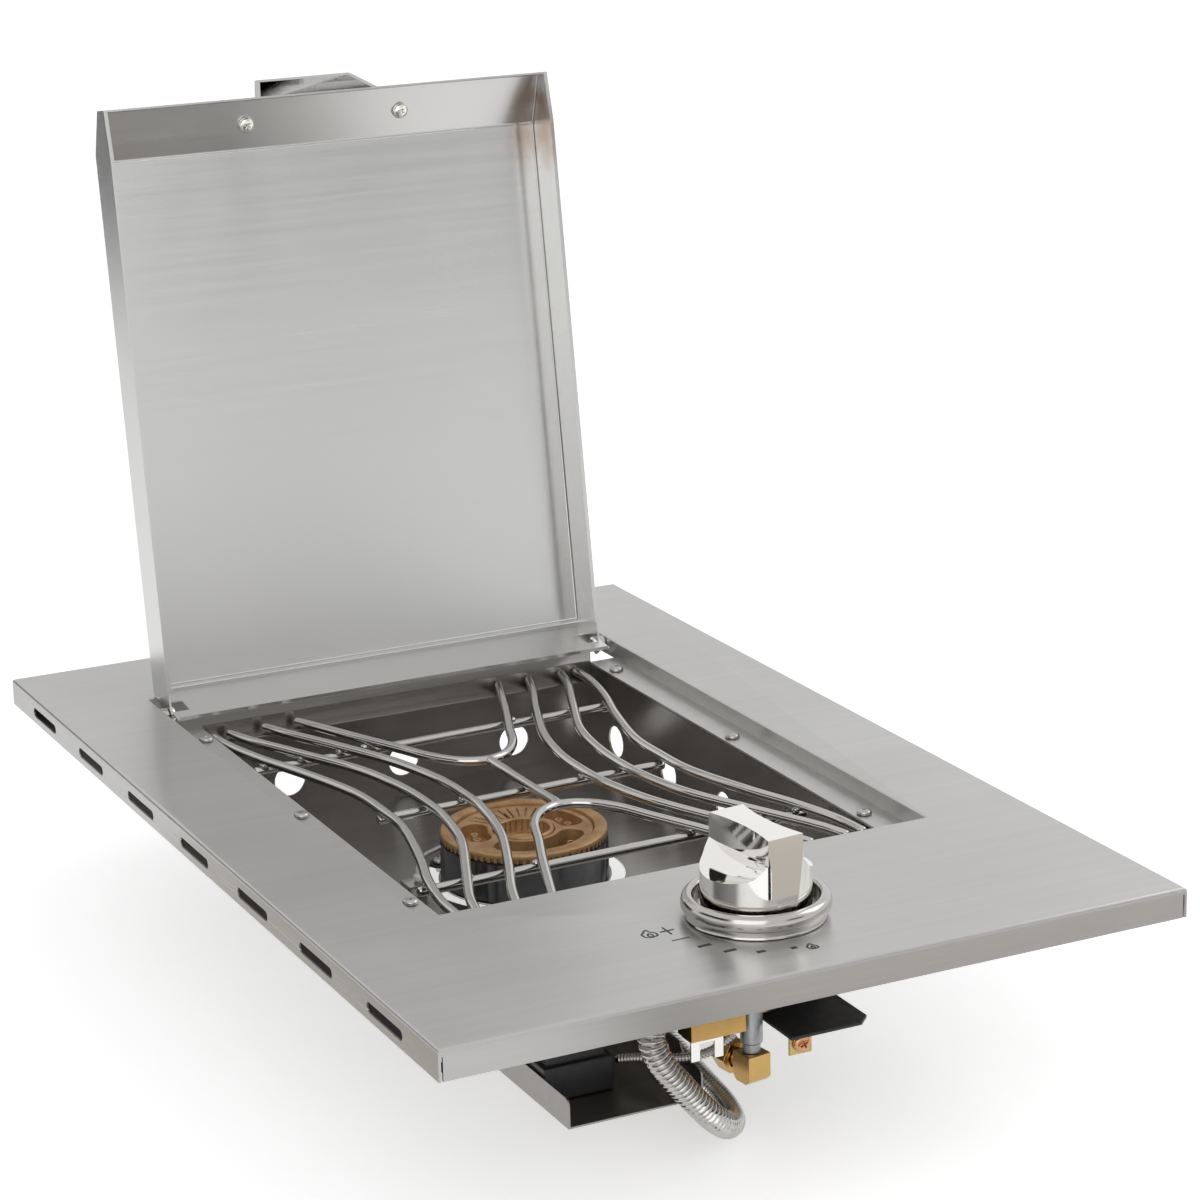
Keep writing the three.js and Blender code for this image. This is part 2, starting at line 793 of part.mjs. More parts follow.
function burnerPot() {
  const outer = potDiameter / 2;
  const inner = outer - 2 * potSheet;
  const bore = tubeDiameter / 2 - tubeWall;
  const mouth = ringInner / 2 + seatGap;
  const lip = spiderRadius - potSheet;
  const shelf = spiderBottomZ - seatGap;
  const floor = potFloorZ + potSheet;
  let pot = toSolid(turned([
    [bore, potFloorZ],
    [outer, potFloorZ],
    [outer, potTopZ],
    [mouth, potTopZ],
    [mouth, shelf],
    [lip, shelf],
    [lip, shelf - potSheet],
    [inner, shelf - 2 * potSheet],
    [inner, floor],
    [bore, floor],
    [bore, potFloorZ],
  ], wideSides));
  for (const [x, y] of burnerScrewPlaces()) {
    const ear = rod(potEar, x, y - burnerY, potFloorZ, floor, holeSides);
    const hole = rod(screwDiameter + 2 * holeClearance, x, y - burnerY, potFloorZ - overrun, floor + overrun, 12);
    pot = cut(pot.add(toSolid(ear)), hole);
  }
  const mesh = piece("burner_pot", pot, "blackSteel");
  mesh.position.y = burnerY;
  return mesh;
}

// A flat ring over a band of fine teeth, whose gaps are the flame ports.
function burnerRing() {
  const outer = ringDiameter / 2;
  const inner = ringInner / 2;
  const chamfer = (ringTopZ - potTopZ) / 5;
  const bandTop = potTopZ + seatGap + ringBand * 0.6;
  const cap = turned([
    [inner, bandTop - overrun / 5],
    [outer, bandTop - overrun / 5],
    [outer, ringTopZ - chamfer],
    [outer - chamfer, ringTopZ],
    [inner, ringTopZ],
    [inner, bandTop - overrun / 5],
  ], wideSides);
  const teeth = new THREE.Shape();
  const step = (2 * Math.PI) / ringTeeth;
  const root = outer - ringToothDepth;
  for (let i = 0; i < ringTeeth; i += 1) {
    const at = (radius, share) => [
      radius * Math.cos((i + share) * step),
      radius * Math.sin((i + share) * step),
    ];
    if (i === 0) teeth.moveTo(...at(root, 0));
    teeth.lineTo(...at(outer, 0.1));
    teeth.lineTo(...at(outer, 0.55));
    teeth.lineTo(...at(root, 0.65));
    teeth.lineTo(...at(root, 1));
  }
  const hole = new THREE.Path();
  hole.absarc(0, 0, inner + ringToothDepth, 0, 2 * Math.PI, true);
  teeth.holes.push(hole);
  const ring = join(cap, raised(teeth, potTopZ + seatGap, bandTop));
  const mesh = piece("burner_ring", ring, "brass");
  mesh.position.y = burnerY;
  return mesh;
}

// The casting inside the ring: a plate with a crescent pocket in front and two smaller ones at the sides.
const pocketOuterShare = 0.9;
const pocketInnerShare = 0.52;
const pockets = [
  { from: -2.62, to: -0.52, deep: true },
  { from: -0.3, to: 0.75, deep: false },
  { from: 2.35, to: 3.4, deep: false },
];

function burnerSpider() {
  const outer = spiderRadius * pocketOuterShare;
  const inner = spiderRadius * pocketInnerShare;
  const middle = (outer + inner) / 2;
  const cupHole = cupDiameter / 2 + seatGap;
  let spider = toSolid(turned([
    [cupHole, spiderBottomZ],
    [spiderRadius, spiderBottomZ],
    [spiderRadius, spiderTopZ],
    [cupHole, spiderTopZ],
    [cupHole, spiderBottomZ],
  ], wideSides));
  for (const pocket of pockets) {
    const end = (outer - inner) / 2;
    const reach = end / middle;
    const foot = pocket.deep ? spiderBottomZ - overrun : spiderTopZ - spiderHeight / 2;
    const outline = arcBand(inner, outer, pocket.from + reach, pocket.to - reach);
    spider = cut(spider, raised(outline, foot, spiderTopZ + overrun));
    for (const turn of [pocket.from + reach, pocket.to - reach]) {
      const x = middle * Math.cos(turn);
      const y = middle * Math.sin(turn);
      spider = cut(spider, rod(outer - inner, x, y, foot, spiderTopZ + overrun, holeSides));
    }
  }

  // Ribs round the rear half, cut as narrow grooves.
  const grooves = 7;
  for (let i = 0; i < grooves; i += 1) {
    const turn = 0.95 + (1.24 * i) / (grooves - 1);
    const groove = block(inner, -0.4, spiderTopZ - spiderWeb / 4, outer, 0.4, spiderTopZ + overrun);
    spider = cut(spider, groove.rotateZ(turn));
  }

  // Small tubular posts in the side pockets, standing on their floors.
  for (const turn of [0.05, 0.35, 2.75, 3.05]) {
    const foot = spiderTopZ - spiderHeight / 2;
    spider = spider.add(toSolid(post(middle * Math.cos(turn), middle * Math.sin(turn), foot - 0.5)));
  }
  const mesh = piece("burner_spider", spider, "brass");
  mesh.position.y = burnerY;
  return mesh;
}

// A short tube with an open top.
function post(x, y, foot) {
  const outer = postDiameter / 2;
  const inner = postBore / 2;
  const top = foot + postHeight * 0.7;
  return turned([
    [0, foot],
    [outer, foot],
    [outer, top],
    [inner, top],
    [inner, top - postBore],
    [0, top - postBore],
  ], 10).translate(x, y, 0);
}

// Two jet posts that stand in the front pocket on the pot's floor.
function burnerPosts() {
  const middle = (spiderRadius * (pocketOuterShare + pocketInnerShare)) / 2;
  const foot = potFloorZ + potSheet + seatGap;
  const top = spiderTopZ - spiderHeight * 0.35;
  return [-1, 1].map((side) => {
    const outer = postDiameter * 0.65;
    const inner = postBore * 0.65;
    const jet = turned([
      [0, foot],
      [outer * 1.3, foot],
      [outer * 1.3, foot + postBore],
      [outer, foot + postBore],
      [outer, top],
      [inner, top],
      [inner, top - postBore * 2],
      [0, top - postBore * 2],
    ], 10);
    const mesh = piece(side < 0 ? "jet_post_left" : "jet_post_right", jet, "brass");
    const turn = -quarter + side * 0.78;
    mesh.position.set(middle * Math.cos(turn), burnerY + middle * Math.sin(turn), 0);
    return mesh;
  });
}

// The middle cup: a rim, a ribbed wall that falls to a shallow dish, and a row of ports round its outside.
function burnerCup() {
  const outer = cupDiameter / 2;
  const rim = outer - cupRimWall;
  const dish = cupDishDiameter / 2;
  const top = ringTopZ - 0.5;
  const foot = potFloorZ + potSheet + seatGap;
  const dishRim = top - cupDishDrop;
  const boreFoot = tubeDiameter / 2 - 2 * tubeWall;
  let cup = toSolid(turned([
    [boreFoot, foot],
    [outer, foot],
    [outer, top - 0.6],
    [outer - 0.6, top],
    [rim, top],
    [rim - 0.6, dishRim],
    [dish, dishRim],
    [dish - 1.5, dishRim - 1.5],
    [0, dishRim - 2],
    [0, dishRim - 4],
    [boreFoot, dishRim - 4],
    [boreFoot, foot],
  ], cupRibs));
  for (let i = 0; i < cupRibs; i += 1) {
    const turn = (2 * Math.PI * (i + 0.5)) / cupRibs;
    const groove = block(rim - 1.4, -0.35, dishRim + 0.6, rim + cupRibDepth - 0.3, 0.35, top - 0.8);
    cup = cut(cup, groove.rotateZ(turn));
  }
  for (let i = 0; i < cupPorts; i += 1) {
    const turn = -quarter + (i - (cupPorts - 1) / 2) * 0.26;
    const port = rodAlong("x", cupPortDiameter, outer - 1.2, outer + overrun, 0, dishRim + 2.4, 8);
    cup = cut(cup, port.rotateZ(turn));
  }
  const mesh = piece("burner_cup", cup, "brass");
  mesh.position.y = burnerY;
  return mesh;
}

function burnerScrews() {
  const names = ["burner_screw_left", "burner_screw_right"];
  return burnerScrewPlaces().map(([x, y], i) => {
    const screw = panScrew(screwDiameter, screwHeadDiameter, screwHeadHeight, screwGrip);
    const mesh = piece(names[i], screw, "rodSteel");
    mesh.position.set(x, y, potFloorZ + potSheet + seatGap);
    return mesh;
  });
}

// Electrode

const electrodeX = -potDiameter / 2 - electrodeOffset;

function electrode() {
  const y = burnerY;
  const radius = insulatorDiameter / 2;
  const foot = insulatorBaseZ;
  const top = foot + insulatorHeight;
  const bore = electrodeDiameter / 2 + holeClearance;
  const insulator = turned([
    [bore, foot],
    [radius * 0.7, foot],
    [radius * 0.7, foot + insulatorHeight * 0.4],
    [radius, foot + insulatorHeight * 0.45],
    [radius, foot + insulatorHeight * 0.6],
    [radius * 0.7, foot + insulatorHeight * 0.65],
    [radius * 0.6, top],
    [bore, top],
    [bore, foot],
  ], 12).translate(electrodeX, y, 0);

  // The rod stands in the insulator and leans over to the ring's ports at its tip.
  const lean = electrodeTipZ - 7;
  const reach = -(potDiameter / 2 + 3.4);
  const wire = bar(smooth([
    [electrodeX, y, foot],
    [electrodeX, y, (foot + lean) / 2],
    [electrodeX, y, lean],
    [electrodeX + 2, y, electrodeTipZ - 3],
    [reach - 3, y, electrodeTipZ - 1],
    [reach, y, electrodeTipZ],
  ]), electrodeDiameter, 10);

  // The bracket is a small angle on the floor with a ring round the insulator.
  const base = bowlFloorZ + seatGap;
  const inner = radius * 0.7 + seatGap;
  const shelf = foot + insulatorHeight * 0.4 - seatGap;
  const left = electrodeX - radius - 5;
  const right = electrodeX + radius + 1;
  let bracket = join(
    block(left, y - 6, shelf - clampSheet, right, y + 6, shelf),
    block(left, y - 6, base, left + clampSheet, y + 6, shelf),
    block(left - 9, y - 6, base, left + clampSheet, y + 6, base + clampSheet),
  );
  bracket = cut(bracket, rod(2 * inner, electrodeX, y, base, shelf + overrun, 16));
  return [
    piece("electrode_insulator", insulator, "ceramic"),
    piece("electrode_rod", wire, "greyMetal"),
    piece("electrode_bracket", bracket, "rodSteel"),
  ];
}

// Mixing tube and injector

function mixingTube() {
  const outer = tubeDiameter / 2;
  const top = potFloorZ - seatGap;
  const elbow = (radius, ends) => bar(smooth([
    [0, burnerY, top + ends],
    [0, burnerY, top - 4],
    [0, burnerY - 1.5, tubeAxisZ + 6],
    [0, burnerY - 7, tubeAxisZ + 1],
    [0, burnerY - 16, tubeAxisZ],
    [0, tubeFrontY + 12, tubeAxisZ],
    [0, tubeFrontY - ends, tubeAxisZ],
  ]), radius * 2, 10, 10);
  const tube = toSolid(elbow(outer, 0)).subtract(toSolid(elbow(outer - tubeWall, overrun)));
  const shutter = new THREE.BoxGeometry(tubeDiameter / 3, tubeDiameter / 2, tubeDiameter * 2);
  shutter.translate(0, tubeFrontY + tubeDiameter / 2, tubeAxisZ);
  return piece("mixing_tube", cut(tube, shutter), "greyMetal");
}

// The injector closes the tube's front end and holds the hose's nut.
function gasInjector() {
  const inner = tubeDiameter / 2 - tubeWall - 2 * seatGap;
  const front = tubeFrontY - seatGap;
  const spigot = hoseBore / 2 + holeClearance;
  const nose = injectorDiameter / 4;
  const plug = turned([
    [0, -injectorLength],
    [spigot, -injectorLength],
    [spigot, -injectorLength / 2],
    [injectorDiameter / 2, -injectorLength / 2],
    [injectorDiameter / 2, -injectorFlange],
    [tubeDiameter / 2, -injectorFlange],
    [tubeDiameter / 2, -seatGap],
    [inner, -seatGap],
    [inner, injectorFlange],
    [nose, injectorFlange],
    [nose / 2, 2 * injectorFlange],
    [0, 2 * injectorFlange],
  ]);
  const mesh = piece("gas_injector", plug, "brightBrass");
  mesh.rotation.x = -quarter;
  mesh.position.set(0, front + seatGap, tubeAxisZ);
  return mesh;
}

// Lid

// The lid's section from the rear flange's foot over the top to the front lip.
function lidSection() {
  const foot = [lidRearY + rearFlangeLean, lidTopZ - rearFlangeDrop];
  return [
    foot,
    [lidRearY, lidTopZ],
    [lidKneeY, lidTopZ],
    [lidFrontY, lidTopZ - slopeDrop],
    [lidFrontY, lidTopZ - lidFrontDrop],
  ];
}

function lidTray() {
  const half = lidWidth / 2;
  const inner = half - lidSheet;
  const section = rounded(lidSection(), lidBend);
  let tray = toSolid(acrossX(sheetOutline(section, lidSheet), -half, half));

  // Side flanges, each with a lug round the hinge bolt and a thin hem along its edge.
  const sideFoot = lidTopZ - lidSideDrop;
  const lugRear = lidRearY - lidSheet;
  const flange = [
    [lugRear, lidTopZ],
    [lidKneeY, lidTopZ],
    [lidFrontY, lidTopZ - slopeDrop],
    [lidFrontY, lidTopZ - lidFrontDrop],
    [lidKneeY, sideFoot],
    [-2 * hingeLugRadius, sideFoot],
    [-hingeLugRadius * 0.7, -hingeLugRadius * 0.7],
    [0, -hingeLugRadius],
    [hingeLugRadius * 0.7, -hingeLugRadius * 0.7],
    [hingeLugRadius, 0],
    [hingeLugRadius * 0.7, hingeLugRadius * 0.7],
    [-hingeLugRadius * 0.4, hingeLugRadius * 1.4],
  ];
  const hem = [
    [-2 * hingeLugRadius, sideFoot],
    [-2 * hingeLugRadius, sideFoot + flangeHem],
    [lidKneeY + lidSheet, sideFoot + flangeHem],
    [lidFrontY + lidSheet, lidTopZ - lidFrontDrop + flangeHem],
    [lidFrontY + lidSheet, lidTopZ - lidFrontDrop],
    [lidKneeY, sideFoot],
  ];
  for (const side of [-1, 1]) {
    const low = side > 0 ? inner : -half;
    const hemLow = side > 0 ? inner - lidSheet : -inner - lidSheet / 2;
    tray = tray.add(toSolid(acrossX(flange, low, low + lidSheet)));
    tray = tray.add(toSolid(acrossX(hem, hemLow, hemLow + 1.5 * lidSheet)));
  }

  // The rear flange's hem, turned to the inside.
  const [foot, crease] = lidSection();
  const lean = Math.atan2(foot[0] - crease[0], crease[1] - foot[1]);
  const hemStrip = block(-inner, -2 * lidSheet, 0, inner, -lidSheet / 2, rearHem);
  hemStrip.rotateX(lean).translate(0, foot[0], foot[1]);
  tray = tray.add(toSolid(hemStrip));

  // Long edges of the top are bent, not sharp, and the rear flange is notched round each bolt.
  tray = tray.intersect(toSolid(lidEdgeBend(half)));
  for (const side of [-1, 1]) {
    const low = side > 0 ? inner - notchWidth : -inner;
    tray = cut(tray, block(
      low,
      -notchHeight / 2,
      -notchHeight / 2,
      low + notchWidth,
      notchHeight,
      notchHeight / 2,
    ));
    const from = side * half - 2 * lidSheet;
    const hole = hingeBoltDiameter + 2 * holeClearance;
    tray = cut(tray, rodAlong("x", hole, from, from + 4 * lidSheet, 0, 0, holeSides));
  }

  // The handle's screw holes in the slope.
  for (const side of [-1, 1]) {
    const hole = rod(screwDiameter + 2 * holeClearance, side * handleFootX, 0, -4, 4, holeSides);
    tray = cut(tray, onSlope(hole));
  }
  return piece("lid_tray", tray, "lidSteel");
}

// A long prism with rounded upper corners, which the tray is held inside.
function lidEdgeBend(half) {
  const low = -rearFlangeDrop - lidTopZ;
  const outline = rounded([
    [0, low],
    [half, low],
    [half, lidTopZ],
    [-half, lidTopZ],
    [-half, low],
    [0, low],
  ], lidBend);
  return acrossY(outline, lidFrontY - overrun, hingeLugRadius + rearFlangeDrop);
}

// Places a form made on a flat face at z = 0, centred, on the outside of the lid's front slope.
function onSlope(form) {
  const run = lidKneeY - lidFrontY;
  const angle = Math.atan2(slopeDrop, run);
  const share = handleScrewShare;
  return form
    .rotateX(angle)
    .translate(0, lidKneeY - run * share, lidTopZ - slopeDrop * share);
}

// A flat strap: two feet, two slanted legs and the bar between them.
function lidHandle() {
  const foot = handleFootLength / 2;
  const path = rounded([
    [-handleFootX - foot, 0],
    [-handleFootX + foot, 0],
    [-handleBarX, handleStandoff],
    [handleBarX, handleStandoff],
    [handleFootX - foot, 0],
    [handleFootX + foot, 0],
  ], 2 * handleStrap / 3);
  const half = handleStrapWidth / 2;
  const outline = sheetOutline(path, -handleStrap).map(([x, z]) => [x, z + handleStrap + seatGap]);
  let handle = toSolid(acrossY(outline.reverse(), -half, half));
  for (const side of [-1, 1]) {
    const hole = screwDiameter + 2 * holeClearance;
    handle = cut(handle, rod(hole, side * handleFootX, 0, -overrun, 2 * handleStrap, holeSides));
  }
  return piece("lid_handle", onSlope(toGeometry(handle)), "rodSteel");
}

// Pan head screws that come from inside the lid through the slope into the handle's feet.
function handleScrews() {
  return [-1, 1].map((side) => {
    const screw = panScrew(screwDiameter, screwHeadDiameter * 1.15, screwHeadHeight * 1.3, screwGrip * 0.9);
    const form = screw.rotateX(Math.PI);
    form.translate(side * handleFootX, 0, -lidSheet - seatGap);
    const name = side < 0 ? "handle_screw_left" : "handle_screw_right";
    return piece(name, onSlope(form), "chrome");
  });
}

function lidGroup() {
  const group = new THREE.Group();
  group.add(lidTray(), lidHandle(), ...handleScrews());
  group.position.set(0, hingeY, hingeZ);
  group.rotation.x = THREE.MathUtils.degToRad(-lidOpenAngle);
  return group;
}

// Hinge bolts: head inside the lid, spacer between lid and wall, nut outside the wall.
function hingeSet(side) {
  const word = side < 0 ? "left" : "right";
  const lidFace = lidWidth / 2;
  const wallFace = openingWidth / 2;
  const wallBack = wallFace + trimSheet;
  const headFace = lidFace - lidSheet - seatGap;
  const headEnd = headFace - hingeHeadHeight;
  const tip = wallBack + seatGap + hingeNutHeight + 1;
  const radius = hingeHeadDiameter / 2;
  const shank = hingeBoltDiameter / 2;
  const bolt = turned([
    [0, headEnd],
    [radius * 0.7, headEnd],
    [radius, headEnd + hingeHeadHeight * 0.45],
    [radius, headFace],
    [shank, headFace],
    [shank, tip],
    [0, tip],
  ], roundSides);
  const spacer = turned([
    [shank + holeClearance, lidFace + seatGap],
    [radius, lidFace + seatGap],
    [radius, wallFace - seatGap],
    [shank + holeClearance, wallFace - seatGap],
    [shank + holeClearance, lidFace + seatGap],
  ], roundSides);
  const nutFrom = wallBack + seatGap;
  const nut = hexNut(
    "x",
    hingeNutWidth,
    hingeBoltDiameter + 2 * holeClearance,
    nutFrom,
    nutFrom + hingeNutHeight,
    0,
    0,
  );
  const group = new THREE.Group();
  const boltMesh = piece("hinge_bolt_" + word, bolt, "chrome");
  const spacerMesh = piece("hinge_spacer_" + word, spacer, "rodSteel");
  boltMesh.rotation.y = quarter;
  spacerMesh.rotation.y = quarter;
  group.add(boltMesh, spacerMesh, piece("hinge_nut_" + word, nut, "rodSteel"));
  group.position.set(0, hingeY, hingeZ);
  if (side < 0) group.rotation.z = Math.PI;
  return group;
}

// Knob, bezel and valve

function knobBezel() {
  const outer = bezelDiameter / 2;
  const inner = bezelInner / 2;
  const foot = plateTopZ + seatGap;
  const top = plateTopZ + bezelHeight;
  const bezel = turned([
    [inner - 3, foot],
    [outer - 2.2, foot],
    [outer - 2.6, foot + bezelHeight * 0.28],
    [outer - 0.4, foot + bezelHeight * 0.36],
    [outer, foot + bezelHeight * 0.5],
    [outer, foot + bezelHeight * 0.72],
    [outer - 0.8, top - 1.1],
    [outer - 2.4, top - 0.1],
    [inner + 1.4, top],
    [inner + 0.3, top - 0.6],
    [inner, top - 1.6],
    [inner, foot + 2.5],
    [inner - 3, foot + 1.5],
    [inner - 3, foot],
  ], wideSides);
  const mesh = piece("knob_bezel", bezel, "satinChrome");
  mesh.position.y = knobY;
  return mesh;
}

// A round body with a bar grip: the flanks are scooped out, so the bar is narrow in its middle and runs
// down to the foot as a facet at the front and the rear.
function controlKnob() {
  const radius = knobDiameter / 2;
  const round = knobRound;
  const body = turned([
    [0, knobBaseZ],
    [radius - round / 2, knobBaseZ],
    [radius, knobBaseZ + round / 2],
    [radius, knobShoulderZ],
    [radius - round, knobShoulderZ + round],
    [radius * knobCrownShare, knobCrownZ],
    [0, knobCrownZ],
  ], wideSides);
  const facetY = Math.sqrt(radius * radius - (knobFacet * knobFacet) / 4);
  const grip = new THREE.Shape();
  grip.moveTo(-knobFacet / 2, -facetY);
  grip.lineTo(knobFacet / 2, -facetY);
  grip.quadraticCurveTo(knobWaist - knobFacet / 2, 0, knobFacet / 2, facetY);
  grip.lineTo(-knobFacet / 2, facetY);
  grip.quadraticCurveTo(knobFacet / 2 - knobWaist, 0, -knobFacet / 2, -facetY);
  const profile = new THREE.ExtrudeGeometry(grip, {
    depth: knobTopZ - knobBaseZ - 2 * round,
    bevelEnabled: true,
    bevelThickness: round,
    bevelSize: round,
    bevelOffset: -round,
    bevelSegments: 1,
    curveSegments: roundSides / 2,
  });
  profile.translate(0, 0, knobBaseZ + round);
  const socket = stemDiameter / 2 + holeClearance;
  const bore = rod(2 * socket, 0, 0, knobBaseZ - overrun, knobBaseZ + knobSocket);
  const skirt = turned([
    [socket + 3, knobBaseZ - overrun],
    [radius - 2.2, knobBaseZ - overrun],
    [radius - 2.2, knobBaseZ + knobSocket],
    [socket + 3, knobBaseZ + knobSocket],
    [socket + 3, knobBaseZ - overrun],
  ]);
  const knob = cut(join(body, profile), bore, skirt);
  const mesh = piece("control_knob", knob, "chrome");
  mesh.position.y = knobY;
  mesh.rotation.z = knobTurn;
  return mesh;
}

const plungerTopZ = valveTopZ - seatGap;
const plungerFootZ = plungerTopZ - plungerHeight;

function valveStem() {
  const shank = stemDiameter / 2;
  const collar = stemCollar / 2;
  const stem = turned([
    [0, plungerFootZ + 1],
    [shank, plungerFootZ + 1],
    [shank, plungerTopZ + seatGap],
    [collar, plungerTopZ + seatGap],
    [collar, plungerTopZ + seatGap + 1.5],
    [shank, plungerTopZ + seatGap + 1.5],
    [shank, knobBaseZ + knobSocket - seatGap - 0.7],
    [shank - 0.7, knobBaseZ + knobSocket - seatGap],
    [0, knobBaseZ + knobSocket - seatGap],
  ]);
  const mesh = piece("valve_stem", stem, "rodSteel");
  mesh.position.y = knobY;
  return mesh;
}

// The sleeve round the stem that slides in the valve when the knob is pushed.
function valvePlunger() {
  const inner = stemDiameter / 2 + holeClearance;
  const outer = plungerDiameter / 2;
  const sleeve = turned([
    [inner, plungerFootZ],
    [outer, plungerFootZ],
    [outer, plungerTopZ],
    [inner, plungerTopZ],
    [inner, plungerFootZ],
  ]);
  const mesh = piece("valve_plunger", sleeve, "brightBrass");
  mesh.position.y = knobY;
  return mesh;
}

const valveFootZ = valveTopZ - valveHeight;

function valveBody() {
  const bore = plungerDiameter / 2 + holeClearance;
  const neck = bore + 3;
  const outer = valveDiameter / 2;
  const foot = valveFootZ;
  const shoulder = valveTopZ - plungerHeight / 2;
  const body = turned([
    [0, foot],
    [outer * 0.72, foot],
    [outer * 0.8, foot + 3],
    [outer, foot + 6],
    [outer, shoulder - 3],
    [neck, shoulder],
    [neck, valveTopZ],
    [bore, valveTopZ],
    [bore, valveTopZ - valveBoreDepth],
    [0, valveTopZ - valveBoreDepth],
  ]);
  const bossY = outletY - knobY;
  const boss = rodAlong("x", nutWidth * 0.8, outletEndX * 0.62, 0, bossY, outletZ, 16);
  const spigot = rodAlong("x", hoseBore + 1, outletEndX - nutLength / 2, 0, bossY, outletZ, 16);
  const shoe = block(-outer * 0.6, bossY - 2, outletZ - nutWidth / 2, outer * 0.6, 0, outletZ + nutWidth / 2);
  const lugX = bracketLeftX;
  const lugRear = bracketRearY - knobY - seatGap;
  const lug = block(lugX, 0, foot + 2, lugX + outer * 0.6, lugRear, foot + nutWidth);
  const inside = rod(2 * bore, 0, 0, valveTopZ - valveBoreDepth, valveTopZ + overrun);
  const mesh = piece("valve_body", cut(join(body, boss, spigot, shoe, lug), inside), "brightBrass");
  mesh.position.y = knobY;
  return mesh;
}

// The hanger: a flange under the plate, a web behind the valve and a shelf below it.
function valveBracket() {
  const right = bracketLeftX + bracketWidth;
  const top = plateTopZ - trimSheet - seatGap;
  const path = [
    [bracketRearY + 14, top],
    [bracketRearY, top],
    [bracketRearY, bracketShelfZ],
    [bracketFrontY, bracketShelfZ],
  ];
  const outline = sheetOutline(rounded(path, 2 * bracketSheet), bracketSheet);
  const left = bracketLeftX;
  let bracket = toSolid(acrossX(outline, left, right));
  const corner = new THREE.BoxGeometry(bracketChamfer * 2, bracketChamfer * 2, bracketSheet * 6);
  corner.rotateZ(Math.PI / 4).translate(right, bracketFrontY, bracketShelfZ);
  bracket = cut(bracket, corner);
  return piece("valve_bracket", bracket, "blackSteel");
}

// The zinc clamp: a tab under the shelf whose ear carries the copper screw.
function valveClamp() {
  const top = bracketShelfZ - bracketSheet - seatGap;
  const front = bracketFrontY + 6;
  const left = clampX - clampWidth / 2 - 5;
  const right = clampX + clampWidth / 2;
  const ear = clampScrewDiameter / 2 + 1;
  const strip = join(
    block(left, front, top - clampSheet, right, front + 22, top),
    block(left, front, clampScrewZ - ear, clampScrewX + ear, front + clampSheet, top),
  );
  const bore = (screwDiameter + 2 * holeClearance) * holeSwell;
  const hole = rodAlong("y", bore, front - 1, front + 3, clampScrewX, clampScrewZ, holeSides);
  return piece("valve_clamp", cut(strip, hole), "zinc");
}

function clampScrew() {
  const front = bracketFrontY + 6 - seatGap;
  const form = panScrew(screwDiameter, clampScrewDiameter, screwHeadHeight * 1.2, screwGrip * 1.6);
  form.rotateX(quarter).translate(clampScrewX, front, clampScrewZ);
  return piece("clamp_screw", form, "copper");
}

// The brass block under the valve that the inlet pipe comes out of.
function manifoldBlock() {
  const half = manifoldDepth / 2;
  const top = valveFootZ - seatGap;
  const middle = (top + manifoldBottomZ) / 2;
  const end = pipeX - pipeDiameter / 2 - seatGap;
  const boss = rodAlong("x", top - manifoldBottomZ, manifoldRightX - 1, end, knobY, middle, 12);
  const bar = block(manifoldLeftX, knobY - half, manifoldBottomZ, manifoldRightX, knobY + half, top);
  return piece("manifold_block", join(bar, boss), "brass");
}

function inletPipe() {
  const r = pipeDiameter / 2;
  const pipe = turned([
    [0, elbowTopZ + seatGap],
    [r - 1, elbowTopZ + seatGap],
    [r - 1, pipeCollarZ - 1],
    [r, pipeCollarZ],
    [r, valveFootZ - seatGap],
    [0, valveFootZ - seatGap],
  ], 16);
  const mesh = piece("inlet_pipe", pipe, "greyMetal");
  mesh.position.set(pipeX, knobY, 0);
  return mesh;
}

// The elbow turns the supply to the back; its nut is what the supply line screws on.
function inletFittings() {
  const group = new THREE.Group();
  const half = elbowWidth / 2;
  const middle = (elbowTopZ + elbowBottomZ) / 2;
  const corner = 2.5;
  const body = acrossX([
    [-half, elbowTopZ],
    [-half, elbowBottomZ + corner],
    [-half + corner, elbowBottomZ],
    [half - corner, elbowBottomZ],
    [half, elbowBottomZ + corner],
    [half, elbowTopZ],
  ], -half, half);
  const neck = rodAlong("y", neckDiameter, 0, half + neckLength + inletNutLength * 0.6, 0, middle, 16);
  const elbow = piece("inlet_elbow", join(body, neck), "brightBrass");
  const from = half + neckLength * 0.5;
  const bore = neckDiameter + 2 * holeClearance;
  const nut = hexNut("y", inletNutWidth, bore, from, from + inletNutLength, 0, middle);
  group.add(elbow, piece("inlet_nut", nut, "brightBrass"));
  group.position.set(pipeX, knobY, 0);
  group.rotation.z = elbowTurn;
  return group;
}

// A chrome fork with two prongs, clipped under the manifold block.
function forkClip() {
  const top = manifoldBottomZ - seatGap;
  const foot = top - clipDrop;
  const width = clipRightX - clipLeftX;
  const prong = width * 0.28;
  const y = knobY - 4;
  const plate = join(
    block(clipLeftX, y, top - clipSheet * 2, clipRightX, y + clipSheet, top),
    block(clipLeftX, y, foot, clipLeftX + prong, y + clipSheet, top),
    block(clipRightX - prong, y, foot, clipRightX, y + clipSheet, top),
    block(clipLeftX, y, top - clipSheet, clipRightX, y + 9, top),
  );
  return piece("fork_clip", plate, "chrome");
}

